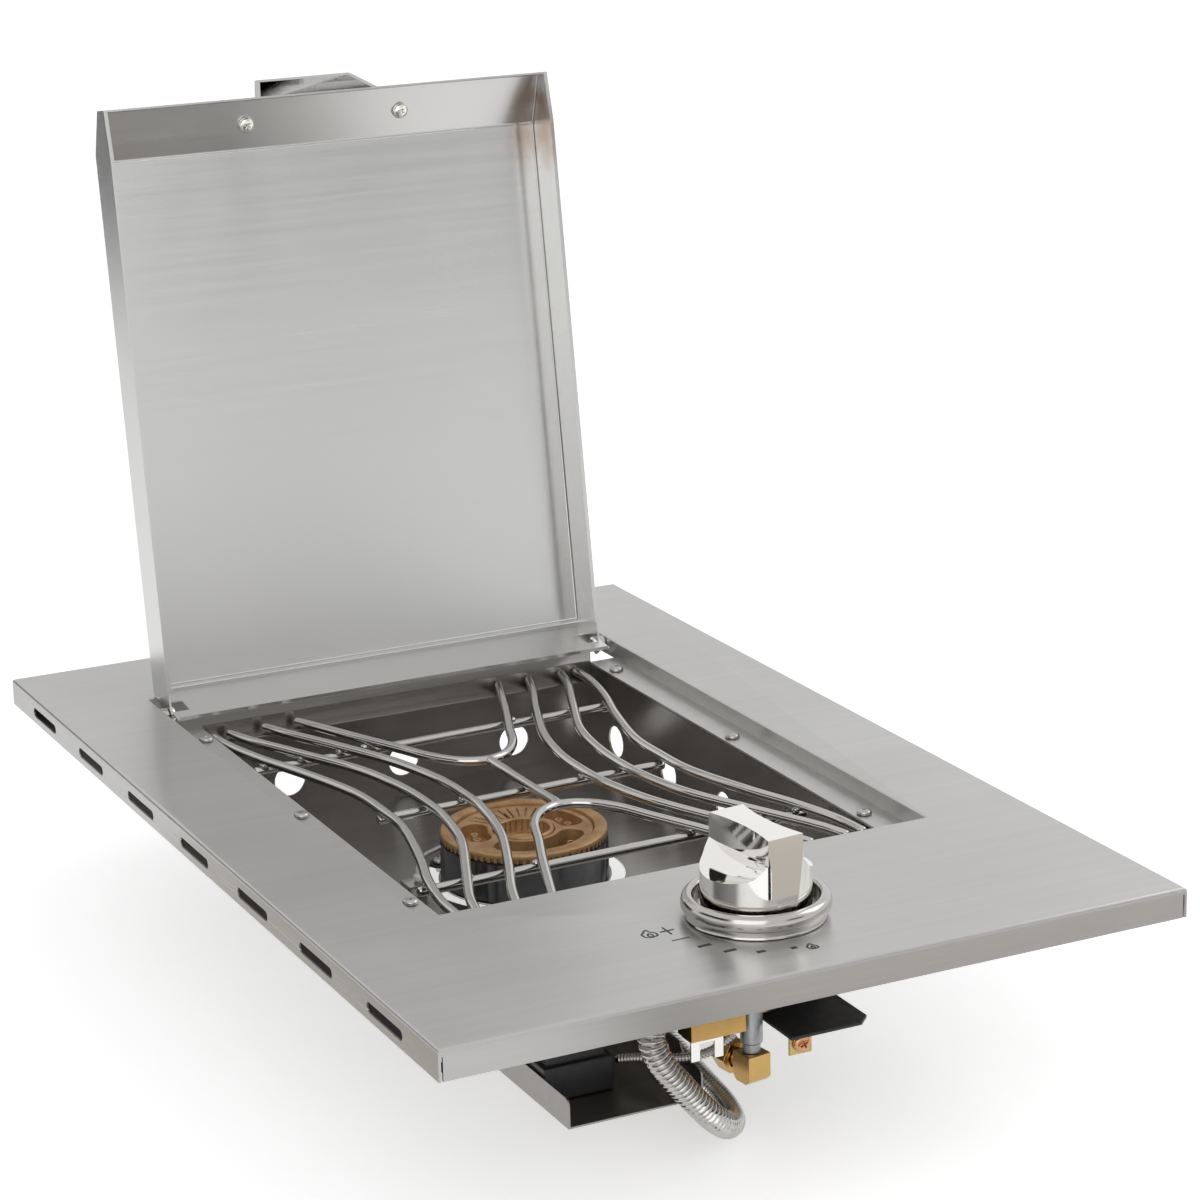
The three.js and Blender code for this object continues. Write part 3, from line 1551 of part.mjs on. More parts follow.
// Heat shield channel: a U of sheet whose walls rise in a step to flanges under the bowl's floor.
function heatShield() {
  const s = channelSheet;
  const wallTop = bowlFloorZ - bowlSheet - seatGap;
  const lowTop = channelFloorZ + channelFrontWall;
  const side = (stepY) => {
    const outline = new THREE.Shape();
    outline.moveTo(channelRearY, channelFloorZ);
    outline.lineTo(channelRearY, wallTop);
    outline.lineTo(stepY + 3, wallTop);
    outline.lineTo(stepY, lowTop);
    outline.lineTo(channelFrontY + channelCorner, lowTop);
    outline.quadraticCurveTo(channelFrontY, lowTop, channelFrontY, lowTop - channelCorner);
    outline.lineTo(channelFrontY, channelFloorZ);
    return outline.getPoints(6).map((p) => [p.x, p.y]).reverse();
  };
  let channel = join(
    block(channelLeftX, channelFrontY, channelFloorZ, channelRightX, channelRearY, channelFloorZ + s),
    acrossX(side(channelLeftStepY), channelLeftX, channelLeftX + s),
    acrossX(side(channelRightStepY), channelRightX - s, channelRightX),
    block(channelLeftX - channelFlange, bowlFrontY, wallTop - s, channelLeftX + s, channelRearY, wallTop),
    block(channelRightX - s, bowlFrontY, wallTop - s, channelRightX + channelFlange, channelRearY, wallTop),
  );
  const hole = screwDiameter + 2 * holeClearance;
  for (const [x, y] of channelScrewPlaces()) {
    channel = cut(channel, rod(hole, x, y, wallTop - s - overrun, wallTop + overrun, holeSides));
  }
  const lead = sleeveRoute[sleeveRoute.length - 1];
  channel = cut(channel, rodAlong(
    "x",
    sleeveDiameter + 4,
    channelRightX - s - overrun,
    channelRightX + overrun,
    lead[1],
    lead[2],
    16,
  ));
  return piece("heat_shield_channel", channel, "bowlSteel");
}

function channelScrews() {
  const names = ["channel_screw_left", "channel_screw_right"];
  return channelScrewPlaces().map(([x, y], i) => {
    const screw = panScrew(screwDiameter, screwHeadDiameter, screwHeadHeight, screwGrip);
    const mesh = piece(names[i], screw, "rodSteel");
    mesh.position.set(x, y, bowlFloorZ + seatGap);
    return mesh;
  });
}

function igniterModule() {
  const left = channelLeftX + channelSheet + seatGap;
  const foot = channelFloorZ + channelSheet + seatGap;
  const half = moduleDepth / 2;
  const box = join(
    block(left, moduleY - half, foot, left + moduleWidth, moduleY + half, foot + moduleHeight * 0.8),
    block(left + 3, moduleY - half + 3, foot, left + moduleWidth - 3, moduleY + half - 3, foot + moduleHeight),
  );
  return piece("igniter_module", box, "blackPlastic");
}

// Ribbed tubes

// Chosen points of the hose's middle line, from the valve's outlet nut to the injector's nut.
const hoseRoute = [
  [-44.5, -226, -13],
  [-50, -226, -13.2],
  [-56.5, -227, -17.5],
  [-59.3, -228.5, -27.5],
  [-54.6, -229.5, -39.5],
  [-45.4, -229.5, -51.5],
  [-37.2, -229, -61.5],
  [-29, -227, -70.5],
  [-19, -220, -79],
  [-9, -206, -84],
  [-2, -184, -86],
  [1, -156, -85],
  [1.5, -126, -80],
  [0.8, -98, -71.5],
  [0, -80, -66.6],
  [0, -72, -66],
  [0, -61.5, -66],
];

// The igniter's lead in its spiral sleeve, from the valve down over the channel's wall to the module.
const sleeveRoute = [
  [-11.2, -214.3, -39.4],
  [-15, -213.5, -41.8],
  [-21, -210.5, -47],
  [-29, -205, -50.4],
  [-38, -196, -52.5],
  [-46, -187, -54],
  [-52, -180, -56],
];

// A tube with a bore and rings of ribs: each rib is a low and a high ring of eight points.
function ribbedTube(route, diameter, bore, pitch, ribDepth, ends) {
  const curve = smooth(route);
  const length = curve.getLength();
  const sides = 8;
  const straight = diameter;
  const ribs = Math.round((length - 2 * straight) / pitch);
  const stations = [[0, 0], [straight / length, 0]];
  for (let i = 0; i < ribs; i += 1) {
    const at = (straight + (i + 0.5) * ((length - 2 * straight) / ribs)) / length;
    stations.push([at, 1]);
    if (i + 1 < ribs) stations.push([at + ((length - 2 * straight) / ribs / 2) / length, 0]);
  }
  stations.push([1 - straight / length, 0], [1, 0]);
  const frames = ringFrames(curve, stations.map(([at]) => at), ends);
  const low = diameter / 2 - ribDepth;
  const rings = stations.map(([, high], i) => ringPoints(frames[i], high ? diameter / 2 : low, sides));
  const boreRings = frames
    .filter((frame, i) => i % 10 === 0 || i === frames.length - 1)
    .map((frame) => ringPoints(frame, bore / 2, sides));
  return tubeSkin([...rings, ...boreRings.reverse()], sides);
}

// A closed skin: out along the outer rings and back through the bore's rings.
function tubeSkin(rings, sides) {
  const points = rings.flat();
  const faces = [];
  for (let ring = 0; ring < rings.length; ring += 1) {
    const here = ring * sides;
    const there = ((ring + 1) % rings.length) * sides;
    for (let i = 0; i < sides; i += 1) {
      const next = (i + 1) % sides;
      faces.push(here + i, here + next, there + next, here + i, there + next, there + i);
    }
  }
  const geometry = new THREE.BufferGeometry();
  geometry.setAttribute("position", new THREE.Float32BufferAttribute(points.flat(), 3));
  return geometry.setIndex(faces);
}

// Frames along a curve that turn as little as possible from one to the next.
function ringFrames(curve, places, ends) {
  let side = null;
  return places.map((at, i) => {
    const centre = curve.getPointAt(at);
    let along = curve.getTangentAt(at);
    if (i < 2) along = new THREE.Vector3(...ends[0]);
    if (i > places.length - 3) along = new THREE.Vector3(...ends[1]);
    if (!side) side = new THREE.Vector3(0, 0, 1).cross(along).normalize();
    side = side.clone().addScaledVector(along, -side.dot(along)).normalize();
    const up = along.clone().cross(side).normalize();
    return { centre, side, up };
  });
}

function ringPoints({ centre, side, up }, radius, sides) {
  const ring = [];
  for (let i = 0; i < sides; i += 1) {
    const turn = (2 * Math.PI * i) / sides;
    const point = centre
      .clone()
      .addScaledVector(side, radius * Math.cos(turn))
      .addScaledVector(up, radius * Math.sin(turn));
    ring.push(point.toArray());
  }
  return ring;
}

function flexHose() {
  const hose = ribbedTube(hoseRoute, hoseDiameter, hoseBore, hosePitch, hoseRibDepth, [
    [-1, 0, 0],
    [0, 1, 0],
  ]);
  return piece("flex_hose", hose, "rodSteel");
}

function leadSleeve() {
  const start = new THREE.Vector3(...sleeveRoute[1]).sub(new THREE.Vector3(...sleeveRoute[0]));
  const last = sleeveRoute.length - 1;
  const end = new THREE.Vector3(...sleeveRoute[last]).sub(new THREE.Vector3(...sleeveRoute[last - 1]));
  const sleeve = ribbedTube(sleeveRoute, sleeveDiameter, sleeveBore, sleevePitch, sleeveRibDepth, [
    start.normalize().toArray(),
    end.normalize().toArray(),
  ]);
  return piece("igniter_lead_sleeve", sleeve, "rodSteel");
}

// Nuts at the hose's two ends, each round the fitting's spigot.
function hoseNuts() {
  const bore = hoseBore + 1 + 2 * holeClearance;
  const start = hoseRoute[0][0] + seatGap;
  const front = hexNut("x", nutWidth, bore, start, outletEndX * 0.62 - seatGap, outletY, outletZ);
  const end = hoseRoute[hoseRoute.length - 1][1] + seatGap;
  const stop = tubeFrontY - seatGap - injectorLength / 2;
  const wide = hoseBore + 1.2 + 2 * holeClearance;
  const rear = hexNut("y", nutWidth, wide, end, stop, 0, tubeAxisZ);
  return [
    piece("hose_nut_front", front, "brightBrass"),
    piece("hose_nut_rear", rear, "brightBrass"),
  ];
}

const sideBurner = new THREE.Group();
sideBurner.add(
  trimPlate(),
  burnerBowl(),
  ...bowlScrews(),
  grateRest("grate_rest_front", -1),
  grateRest("grate_rest_rear", 1),
  cookingGrate(),
  burnerPot(),
  burnerRing(),
  burnerSpider(),
  burnerCup(),
  ...burnerPosts(),
  ...burnerScrews(),
  ...electrode(),
  mixingTube(),
  gasInjector(),
  lidGroup(),
  hingeSet(-1),
  hingeSet(1),
  knobBezel(),
  controlKnob(),
  valveStem(),
  valvePlunger(),
  valveBody(),
  valveBracket(),
  valveClamp(),
  clampScrew(),
  manifoldBlock(),
  inletPipe(),
  inletFittings(),
  forkClip(),
  heatShield(),
  ...channelScrews(),
  igniterModule(),
  flexHose(),
  leadSleeve(),
  ...hoseNuts(),
);

export default sideBurner;
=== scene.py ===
import json
import math

import bpy
from mathutils import Matrix, Vector

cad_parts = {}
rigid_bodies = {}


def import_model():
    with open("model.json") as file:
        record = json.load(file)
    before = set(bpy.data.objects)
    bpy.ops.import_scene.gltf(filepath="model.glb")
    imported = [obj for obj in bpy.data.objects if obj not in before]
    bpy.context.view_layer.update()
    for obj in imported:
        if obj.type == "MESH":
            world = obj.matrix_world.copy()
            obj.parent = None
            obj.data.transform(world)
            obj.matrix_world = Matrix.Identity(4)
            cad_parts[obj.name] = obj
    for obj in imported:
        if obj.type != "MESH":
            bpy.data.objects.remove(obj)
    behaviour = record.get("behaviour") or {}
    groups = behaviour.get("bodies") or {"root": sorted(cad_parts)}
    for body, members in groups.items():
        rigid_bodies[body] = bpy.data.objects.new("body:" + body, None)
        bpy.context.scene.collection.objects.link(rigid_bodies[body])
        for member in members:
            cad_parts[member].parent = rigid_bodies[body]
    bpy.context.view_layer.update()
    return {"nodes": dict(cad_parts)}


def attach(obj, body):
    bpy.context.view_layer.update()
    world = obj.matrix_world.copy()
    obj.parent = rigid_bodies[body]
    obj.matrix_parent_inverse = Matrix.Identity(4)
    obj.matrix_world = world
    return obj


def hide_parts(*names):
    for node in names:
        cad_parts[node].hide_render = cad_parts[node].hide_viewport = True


for leftover in list(bpy.data.objects):
    bpy.data.objects.remove(leftover)
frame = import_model()
print("frame loaded")

mm = 0.001
quarterTurn = math.pi / 2


# Camera, where the photograph was taken from
cameraSetup = {
    "lens": 104.02,
    "sensor": 36.0,
    "place": (-676.9, -1444.5, 569.8),
    "azimuth": -26.18,
    "elevation": 16.38,
    "roll": -1.27,
    "clip": (0.05, 50),
}


def addCamera(setup):
    azimuth = math.radians(setup["azimuth"])
    elevation = math.radians(setup["elevation"])
    roll = math.radians(setup["roll"])
    back = Vector((
        math.sin(azimuth) * math.cos(elevation),
        -math.cos(azimuth) * math.cos(elevation),
        math.sin(elevation),
    ))
    right = (-back).cross(Vector((0, 0, 1))).normalized()
    up = right.cross(-back)
    tiltedRight = right * math.cos(roll) + up * math.sin(roll)
    tiltedUp = up * math.cos(roll) - right * math.sin(roll)
    turn = Matrix((tiltedRight, tiltedUp, back)).transposed().to_4x4()
    bpy.ops.object.camera_add()
    camera = bpy.context.object
    camera.name = "photoCamera"
    camera.matrix_world = Matrix.Translation(Vector(setup["place"]) * mm) @ turn
    camera.data.lens = setup["lens"]
    camera.data.sensor_width = setup["sensor"]
    camera.data.clip_start, camera.data.clip_end = setup["clip"]
    bpy.context.scene.camera = camera


addCamera(cameraSetup)


# Node helpers for the studio and the finishes
def mathNode(tree, operation, first, second):
    node = tree.nodes.new("ShaderNodeMath")
    node.operation = operation
    for socket, value in zip(node.inputs, (first, second)):
        if isinstance(value, (int, float)):
            socket.default_value = value
        else:
            tree.links.new(value, socket)
    return node.outputs[0]


def mapped(tree, value, low, high, fromLow=0.0, fromHigh=1.0):
    node = tree.nodes.new("ShaderNodeMapRange")
    tree.links.new(value, node.inputs["Value"])
    node.inputs["From Min"].default_value = fromLow
    node.inputs["From Max"].default_value = fromHigh
    node.inputs["To Min"].default_value = low
    node.inputs["To Max"].default_value = high
    return node.outputs["Result"]


# Floor, world and lamps
studio = {
    "floorZ": -94.5,
    "floorSize": 12,
    "floorColour": (0.86, 0.86, 0.86, 1),
    "floorRoughness": 0.9,
    "floorSpecular": 0.2,
    "floorLift": 0.5,
    "lampTarget": (0, 0, 0.05),
    "worldLight": 0.62,
    "keyPower": 16,
    "keySize": 2.2,
    "keyPlace": (-1.45, -1.9, 1.3),
    "fillPower": 9,
    "fillSize": 1.4,
    "fillPlace": (1.9, -0.2, 1.5),
    # name, place, size, turn in degrees about X, Y and Z, colour; only reflections see them
    "cards": (
        ("sideFlag", (-1350, 60, 800), (1500, 620), (60, 0, 270), (0.02, 0.02, 0.02)),
        ("frontFlag", (850, -1500, 640), (760, 330), (75, 0, 27), (0.06, 0.06, 0.06)),
        ("rearFlag", (-950, 1600, 210), (1000, 520), (90, 0, 30), (0.03, 0.03, 0.03)),
        ("leftLine", (-282, -453, -94), (34, 520), (0, 0, -49.7), (0.02, 0.018, 0.016)),
        ("rightLine", (-17, -584, -94), (34, 520), (0, 0, -2.7), (0.02, 0.018, 0.016)),
        ("leftFloor", (-520, -90, -94.2), (560, 760), (0, 0, 0), (0.55, 0.50, 0.44)),
        ("frontFloor", (480, -510, -94.2), (940, 330), (0, 0, 0), (0.56, 0.52, 0.48)),
    ),
}


def whiteToCamera(tree):
    # camera, glossy and transmitted rays see plain white, other rays see the studio's own level
    path = tree.nodes.new("ShaderNodeLightPath")
    mirrored = mathNode(tree, "MAXIMUM", path.outputs["Is Glossy Ray"], path.outputs["Is Transmission Ray"])
    return mathNode(tree, "MAXIMUM", path.outputs["Is Camera Ray"], mirrored)


def buildStudio(setup):
    bpy.ops.mesh.primitive_plane_add(size=setup["floorSize"], location=(0, 0, setup["floorZ"] * mm))
    floor = bpy.context.object
    floor.name = "studioFloor"
    paper = bpy.data.materials.new("floorPaper")
    paper.use_nodes = True
    tree = paper.node_tree
    shader = tree.nodes["Principled BSDF"]
    shader.inputs["Base Color"].default_value = setup["floorColour"]
    shader.inputs["Roughness"].default_value = setup["floorRoughness"]
    shader.inputs["Specular IOR Level"].default_value = setup["floorSpecular"]
    shader.inputs["Emission Color"].default_value = (1, 1, 1, 1)
    lift = mathNode(tree, "MULTIPLY", whiteToCamera(tree), setup["floorLift"])
    tree.links.new(lift, shader.inputs["Emission Strength"])
    floor.data.materials.append(paper)

    world = bpy.data.worlds.new("studioWorld")
    bpy.context.scene.world = world
    world.use_nodes = True
    tree = world.node_tree
    background = tree.nodes["Background"]
    background.inputs["Color"].default_value = (1, 1, 1, 1)
    level = mapped(tree, whiteToCamera(tree), setup["worldLight"], 1.0)
    tree.links.new(level, background.inputs["Strength"])

    for name in ("key", "fill"):
        place = Vector(setup[name + "Place"])
        bpy.ops.object.light_add(type="AREA", location=place)
        lamp = bpy.context.object
        lamp.name = name + "Lamp"
        lamp.data.energy = setup[name + "Power"]
        lamp.data.size = setup[name + "Size"]
        aim = Vector(setup["lampTarget"]) - place
        lamp.rotation_euler = aim.to_track_quat("-Z", "Y").to_euler()

    for name, spot, size, turn, colour in setup["cards"]:
        bpy.ops.mesh.primitive_plane_add(size=1, location=[v * mm for v in spot])
        card = bpy.context.object
        card.name = name
        card.scale = (size[0] * mm, size[1] * mm, 1)
        card.rotation_euler = [math.radians(v) for v in turn]
        card.visible_camera = False
        card.visible_diffuse = False
        card.visible_shadow = False
        card.visible_transmission = False
        cloth = bpy.data.materials.new(name + "Cloth")
        cloth.use_nodes = True
        glow = cloth.node_tree.nodes.new("ShaderNodeEmission")
        glow.inputs["Color"].default_value = (*colour, 1)
        output = cloth.node_tree.nodes["Material Output"]
        cloth.node_tree.links.new(glow.outputs[0], output.inputs["Surface"])
        card.data.materials.append(cloth)

    bpy.context.scene.view_settings.view_transform = "Standard"


buildStudio(studio)
print("camera, floor and lamps")


# Helpers for modelling by hand in code
def clearSelection():
    if bpy.context.object and bpy.context.object.mode != "OBJECT":
        bpy.ops.object.mode_set(mode="OBJECT")
    bpy.ops.object.select_all(action="DESELECT")


def workOn(piece):
    clearSelection()
    piece.select_set(True)
    bpy.context.view_layer.objects.active = piece


def editAll(piece):
    workOn(piece)
    bpy.ops.object.mode_set(mode="EDIT")
    bpy.ops.mesh.select_all(action="SELECT")


def leaveEdit():
    bpy.ops.object.mode_set(mode="OBJECT")


def pickFaces(piece, test):
    workOn(piece)
    bpy.ops.object.mode_set(mode="EDIT")
    bpy.ops.mesh.select_mode(type="FACE")
    bpy.ops.mesh.select_all(action="DESELECT")
    leaveEdit()
    for face in piece.data.polygons:
        face.select = bool(test(piece.matrix_world @ face.center, face.normal))
    bpy.ops.object.mode_set(mode="EDIT")


def settle(piece):
    workOn(piece)
    bpy.ops.object.transform_apply(location=True, rotation=True, scale=True)


def tidyMesh(piece, gap=0.002 * mm):
    editAll(piece)
    bpy.ops.mesh.remove_doubles(threshold=gap)
    bpy.ops.mesh.normals_make_consistent(inside=False)
    leaveEdit()


def shadeSmooth(piece, degrees=32):
    workOn(piece)
    bpy.ops.object.shade_smooth_by_angle(angle=math.radians(degrees))


def weighNormals(piece, degrees=None):
    # flats stay flat and the soft edges between them catch the light
    workOn(piece)
    if degrees is None:
        bpy.ops.object.shade_smooth()
    else:
        bpy.ops.object.shade_smooth_by_angle(angle=math.radians(degrees))
    useModifier(piece, "WEIGHTED_NORMAL", keep_sharp=True)


def useModifier(piece, kind, **settings):
    workOn(piece)
    modifier = piece.modifiers.new(kind.title(), kind)
    for key, value in settings.items():
        setattr(modifier, key, value)
    bpy.ops.object.modifier_apply(modifier=modifier.name)


def softenEdges(piece, width, segments=2, degrees=30):
    useModifier(
        piece,
        "BEVEL",
        width=width * mm,
        segments=segments,
        limit_method="ANGLE",
        angle_limit=math.radians(degrees),
        use_clamp_overlap=True,
    )


def boolean(piece, tool, operation="DIFFERENCE"):
    useModifier(piece, "BOOLEAN", object=tool, operation=operation, solver="EXACT")
    bpy.data.objects.remove(tool)


def joinPieces(name, parts):
    clearSelection()
    for part in parts:
        part.select_set(True)
    bpy.context.view_layer.objects.active = parts[0]
    bpy.ops.object.join()
    bpy.context.object.name = name
    return bpy.context.object


def addBox(name, low, high):
    # a cube between two corners, in millimetres
    clearSelection()
    centre = [(a + b) / 2 * mm for a, b in zip(low, high)]
    bpy.ops.mesh.primitive_cube_add(size=1, location=centre)
    box = bpy.context.object
    box.name = name
    bpy.ops.transform.resize(value=[(b - a) * mm for a, b in zip(low, high)])
    settle(box)
    return box


def addRound(name, stations, sides=64, hollow=False):
    # a body of revolution about Z: a circle is drawn out through [radius, height] stations
    clearSelection()
    radius, height = stations[0]
    bpy.ops.mesh.primitive_circle_add(
        vertices=sides,
        radius=radius * mm,
        fill_type="NOTHING" if hollow else "NGON",
        location=(0, 0, height * mm),
    )
    piece = bpy.context.object
    piece.name = name
    editAll(piece)
    for nextRadius, nextHeight in stations[1:]:
        rise = {"value": (0, 0, (nextHeight - height) * mm)}
        if hollow:
            bpy.ops.mesh.extrude_edges_move(TRANSFORM_OT_translate=rise)
        else:
            bpy.ops.mesh.extrude_region_move(TRANSFORM_OT_translate=rise)
        share = nextRadius / radius
        bpy.ops.transform.resize(value=(share, share, 1), center_override=(0, 0, nextHeight * mm))
        radius, height = nextRadius, nextHeight
    leaveEdit()
    settle(piece)
    tidyMesh(piece)
    return piece


def addLoft(name, sections):
    # a grid wrapped round sections with the same count of points, and closed at both ends
    clearSelection()
    rows, columns = len(sections) - 1, len(sections[0])
    bpy.ops.mesh.primitive_grid_add(x_subdivisions=columns, y_subdivisions=rows, size=2)
    piece = bpy.context.object
    piece.name = name
    for vertex in piece.data.vertices:
        row = round((vertex.co.y + 1) / 2 * rows)
        column = round((vertex.co.x + 1) / 2 * columns) % columns
        vertex.co = Vector(sections[row][column]) * mm
    editAll(piece)
    bpy.ops.mesh.remove_doubles(threshold=0.002 * mm)
    bpy.ops.mesh.select_all(action="SELECT")
    bpy.ops.mesh.fill_holes(sides=0)
    leaveEdit()
    tidyMesh(piece)
    return piece


def moved(piece, matrix):
    piece.data.transform(matrix)
    piece.data.update()
    return piece


def at(x=0, y=0, z=0):
    return Matrix.Translation(Vector((x, y, z)) * mm)


def turnedBy(angle, axis):
    return Matrix.Rotation(angle, 4, axis)


def copyOf(piece, name, matrix):
    twin = piece.copy()
    twin.data = piece.data.copy()
    twin.name = name
    bpy.context.scene.collection.objects.link(twin)
    return moved(twin, matrix)


def refined(node, name, width=0.25, segments=2, flat=1.0, degrees=30):
    # a copy of a CAD node with merged corners, clean flats and softened edges
    source = frame["nodes"][node]
    piece = bpy.data.objects.new(name, source.data.copy())
    bpy.context.scene.collection.objects.link(piece)
    editAll(piece)
    bpy.ops.mesh.remove_doubles(threshold=0.001 * mm)
    bpy.ops.mesh.dissolve_limited(angle_limit=math.radians(flat))
    leaveEdit()
    if width:
        softenEdges(piece, width, segments, degrees)
    weighNormals(piece, 40)
    return piece


def dress(piece, finish, body, slot, *nodes):
    piece.data.materials.clear()
    piece.data.materials.append(finishes[finish])
    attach(piece, body)
    if nodes:
        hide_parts(*nodes)
    return piece


def turnedPiece(name, stations, matrix, look, node, sides=48, hollow=False, smooth=35):
    # a body of revolution in its place; look is its finish, body and slot
    piece = addRound(name, stations, sides, hollow)
    shadeSmooth(piece, smooth)
    return dress(moved(piece, matrix), *look, node)


def curvePoints(route, steps):
    # the same smooth line through a route as the CAD model's
    points = [Vector(p) for p in route]
    first = points[0] * 2 - points[1]
    last = points[-1] * 2 - points[-2]
    padded = [first, *points, last]
    line = []
    for i in range(len(points) - 1):
        before, start, end, after = padded[i:i + 4]
        leave = (end - before) / 2
        arrive = (after - start) / 2
        for step in range(steps):
            t = step / steps
            line.append(
                start * (2 * t ** 3 - 3 * t ** 2 + 1)
                + leave * (t ** 3 - 2 * t ** 2 + t)
                + end * (3 * t ** 2 - 2 * t ** 3)
                + arrive * (t ** 3 - t ** 2)
            )
    line.append(points[-1])
    return line


def evenPoints(line, count):
    # points at equal distances along a line
    lengths = [0.0]
    for a, b in zip(line, line[1:]):
        lengths.append(lengths[-1] + (b - a).length)
    spaced = []
    index = 0
    for i in range(count):
        wanted = lengths[-1] * i / (count - 1)
        while index < len(lengths) - 2 and lengths[index + 1] < wanted:
            index += 1
        share = (wanted - lengths[index]) / (lengths[index + 1] - lengths[index])
        spaced.append(line[index].lerp(line[index + 1], min(share, 1)))
    return spaced, lengths[-1]


def addTube(name, line, diameter, radii=None, sides=6, capped=True):
    # a curve of one poly spline with a round bevel, turned into a mesh
    clearSelection()
    bpy.ops.curve.primitive_bezier_curve_add(location=(0, 0, 0))
    tube = bpy.context.object
    tube.name = name
    curve = tube.data
    curve.splines.clear()
    spline = curve.splines.new("POLY")
    spline.points.add(len(line) - 1)
    for i, (point, place) in enumerate(zip(spline.points, line)):
        point.co = (place.x * mm, place.y * mm, place.z * mm, 1)
        point.radius = radii[i] if radii else 1
    curve.dimensions = "3D"
    curve.bevel_depth = diameter / 2 * mm
    curve.bevel_resolution = sides
    curve.use_fill_caps = capped
    bpy.ops.object.convert(target="MESH")
    tube = bpy.context.object
    tidyMesh(tube)
    return tube


# Shader groups that several finishes share
def newGroup(name, inputs, outputs):
    group = bpy.data.node_groups.new(name, "ShaderNodeTree")
    for label, kind, value in inputs:
        socket = group.interface.new_socket(label, in_out="INPUT", socket_type=kind)
        socket.default_value = value
    for label, kind in outputs:
        group.interface.new_socket(label, in_out="OUTPUT", socket_type=kind)
    return group, group.nodes.new("NodeGroupInput"), group.nodes.new("NodeGroupOutput")


def mixColour(tree, factor, first, second):
    node = tree.nodes.new("ShaderNodeMix")
    node.data_type = "RGBA"
    tree.links.new(factor, node.inputs[0])
    for socket, value in ((node.inputs[6], first), (node.inputs[7], second)):
        if isinstance(value, tuple):
            socket.default_value = (*value, 1)
        else:
            tree.links.new(value, socket)
    return node.outputs[2]


def noiseNode(tree, place, size=None, **settings):
    noise = tree.nodes.new("ShaderNodeTexNoise")
    for label, value in settings.items():
        noise.inputs[label].default_value = value
    tree.links.new(place, noise.inputs["Vector"])
    if size:
        tree.links.new(size, noise.inputs["Scale"])
    return noise.outputs["Fac"]


def buildBrushGrain():
    # fine parallel scratches: noise drawn out by the Stretch vector
    group, source, sink = newGroup(
        "brushGrain",
        [
            ("Place", "NodeSocketVector", (0, 0, 0)),
            ("Stretch", "NodeSocketVector", (12, 900, 900)),
            ("Contrast", "NodeSocketFloat", 1.0),
        ],
        [("Streaks", "NodeSocketFloat"), ("Scratches", "NodeSocketFloat")],
    )
    drawn = group.nodes.new("ShaderNodeVectorMath")
    drawn.operation = "MULTIPLY"
    group.links.new(source.outputs["Place"], drawn.inputs[0])
    group.links.new(source.outputs["Stretch"], drawn.inputs[1])
    wide = noiseNode(group, drawn.outputs[0], Scale=0.35, Detail=3)
    fine = noiseNode(group, drawn.outputs[0], Scale=3.0, Detail=5)
    both = mathNode(group, "ADD", wide, fine)
    centred = mathNode(group, "SUBTRACT", both, 1.0)
    strong = mathNode(group, "MULTIPLY", centred, source.outputs["Contrast"])
    group.links.new(mathNode(group, "ADD", strong, 0.5), sink.inputs["Streaks"])
    group.links.new(fine, sink.inputs["Scratches"])
    return group


def buildSoftClouds():
    # wide, soft unevenness, as handling and rolling leave on sheet
    group, source, sink = newGroup(
        "softClouds",
        [("Place", "NodeSocketVector", (0, 0, 0)), ("Size", "NodeSocketFloat", 9.0)],
        [("Clouds", "NodeSocketFloat")],
    )
    noise = noiseNode(group, source.outputs["Place"], source.outputs["Size"], Detail=2, Distortion=0.6)
    group.links.new(mapped(group, noise, 0, 1, 0.3, 0.7), sink.inputs["Clouds"])
    return group


def buildHeatSpot():
    # a round stain with a soft, uneven edge
    group, source, sink = newGroup(
        "heatSpot",
        [
            ("Place", "NodeSocketVector", (0, 0, 0)),
            ("Centre", "NodeSocketVector", (0, 0, 0)),
            ("Radius", "NodeSocketFloat", 0.02),
        ],
        [("Stain", "NodeSocketFloat")],
    )
    away = group.nodes.new("ShaderNodeVectorMath")
    away.operation = "DISTANCE"
    group.links.new(source.outputs["Place"], away.inputs[0])
    group.links.new(source.outputs["Centre"], away.inputs[1])
    share = mathNode(group, "DIVIDE", away.outputs["Value"], source.outputs["Radius"])
    noise = noiseNode(group, source.outputs["Place"], Scale=70)
    ragged = mathNode(group, "ADD", share, mapped(group, noise, -0.35, 0.35))
    fade = group.nodes.new("ShaderNodeMapRange")
    fade.interpolation_type = "SMOOTHSTEP"
    fade.inputs["To Min"].default_value = 1
    fade.inputs["To Max"].default_value = 0
    group.links.new(ragged, fade.inputs["Value"])
    group.links.new(fade.outputs["Result"], sink.inputs["Stain"])
    return group


def buildCastGrain():
    # the pitted skin that a sand mould leaves
    group, source, sink = newGroup(
        "castGrain",
        [("Place", "NodeSocketVector", (0, 0, 0)), ("Size", "NodeSocketFloat", 900.0)],
        [("Pits", "NodeSocketFloat"), ("Shade", "NodeSocketFloat")],
    )
    pits = noiseNode(group, source.outputs["Place"], source.outputs["Size"], Detail=5, Roughness=0.65)
    wideSize = mathNode(group, "MULTIPLY", source.outputs["Size"], 0.12)
    wide = noiseNode(group, source.outputs["Place"], wideSize, Detail=3)
    group.links.new(pits, sink.inputs["Pits"])
    both = mathNode(group, "ADD", mathNode(group, "MULTIPLY", pits, 0.5), wide)
    group.links.new(mapped(group, both, 0, 1, 0.45, 1.05), sink.inputs["Shade"])
    return group


brushGrain = buildBrushGrain()
softClouds = buildSoftClouds()
heatSpot = buildHeatSpot()
castGrain = buildCastGrain()


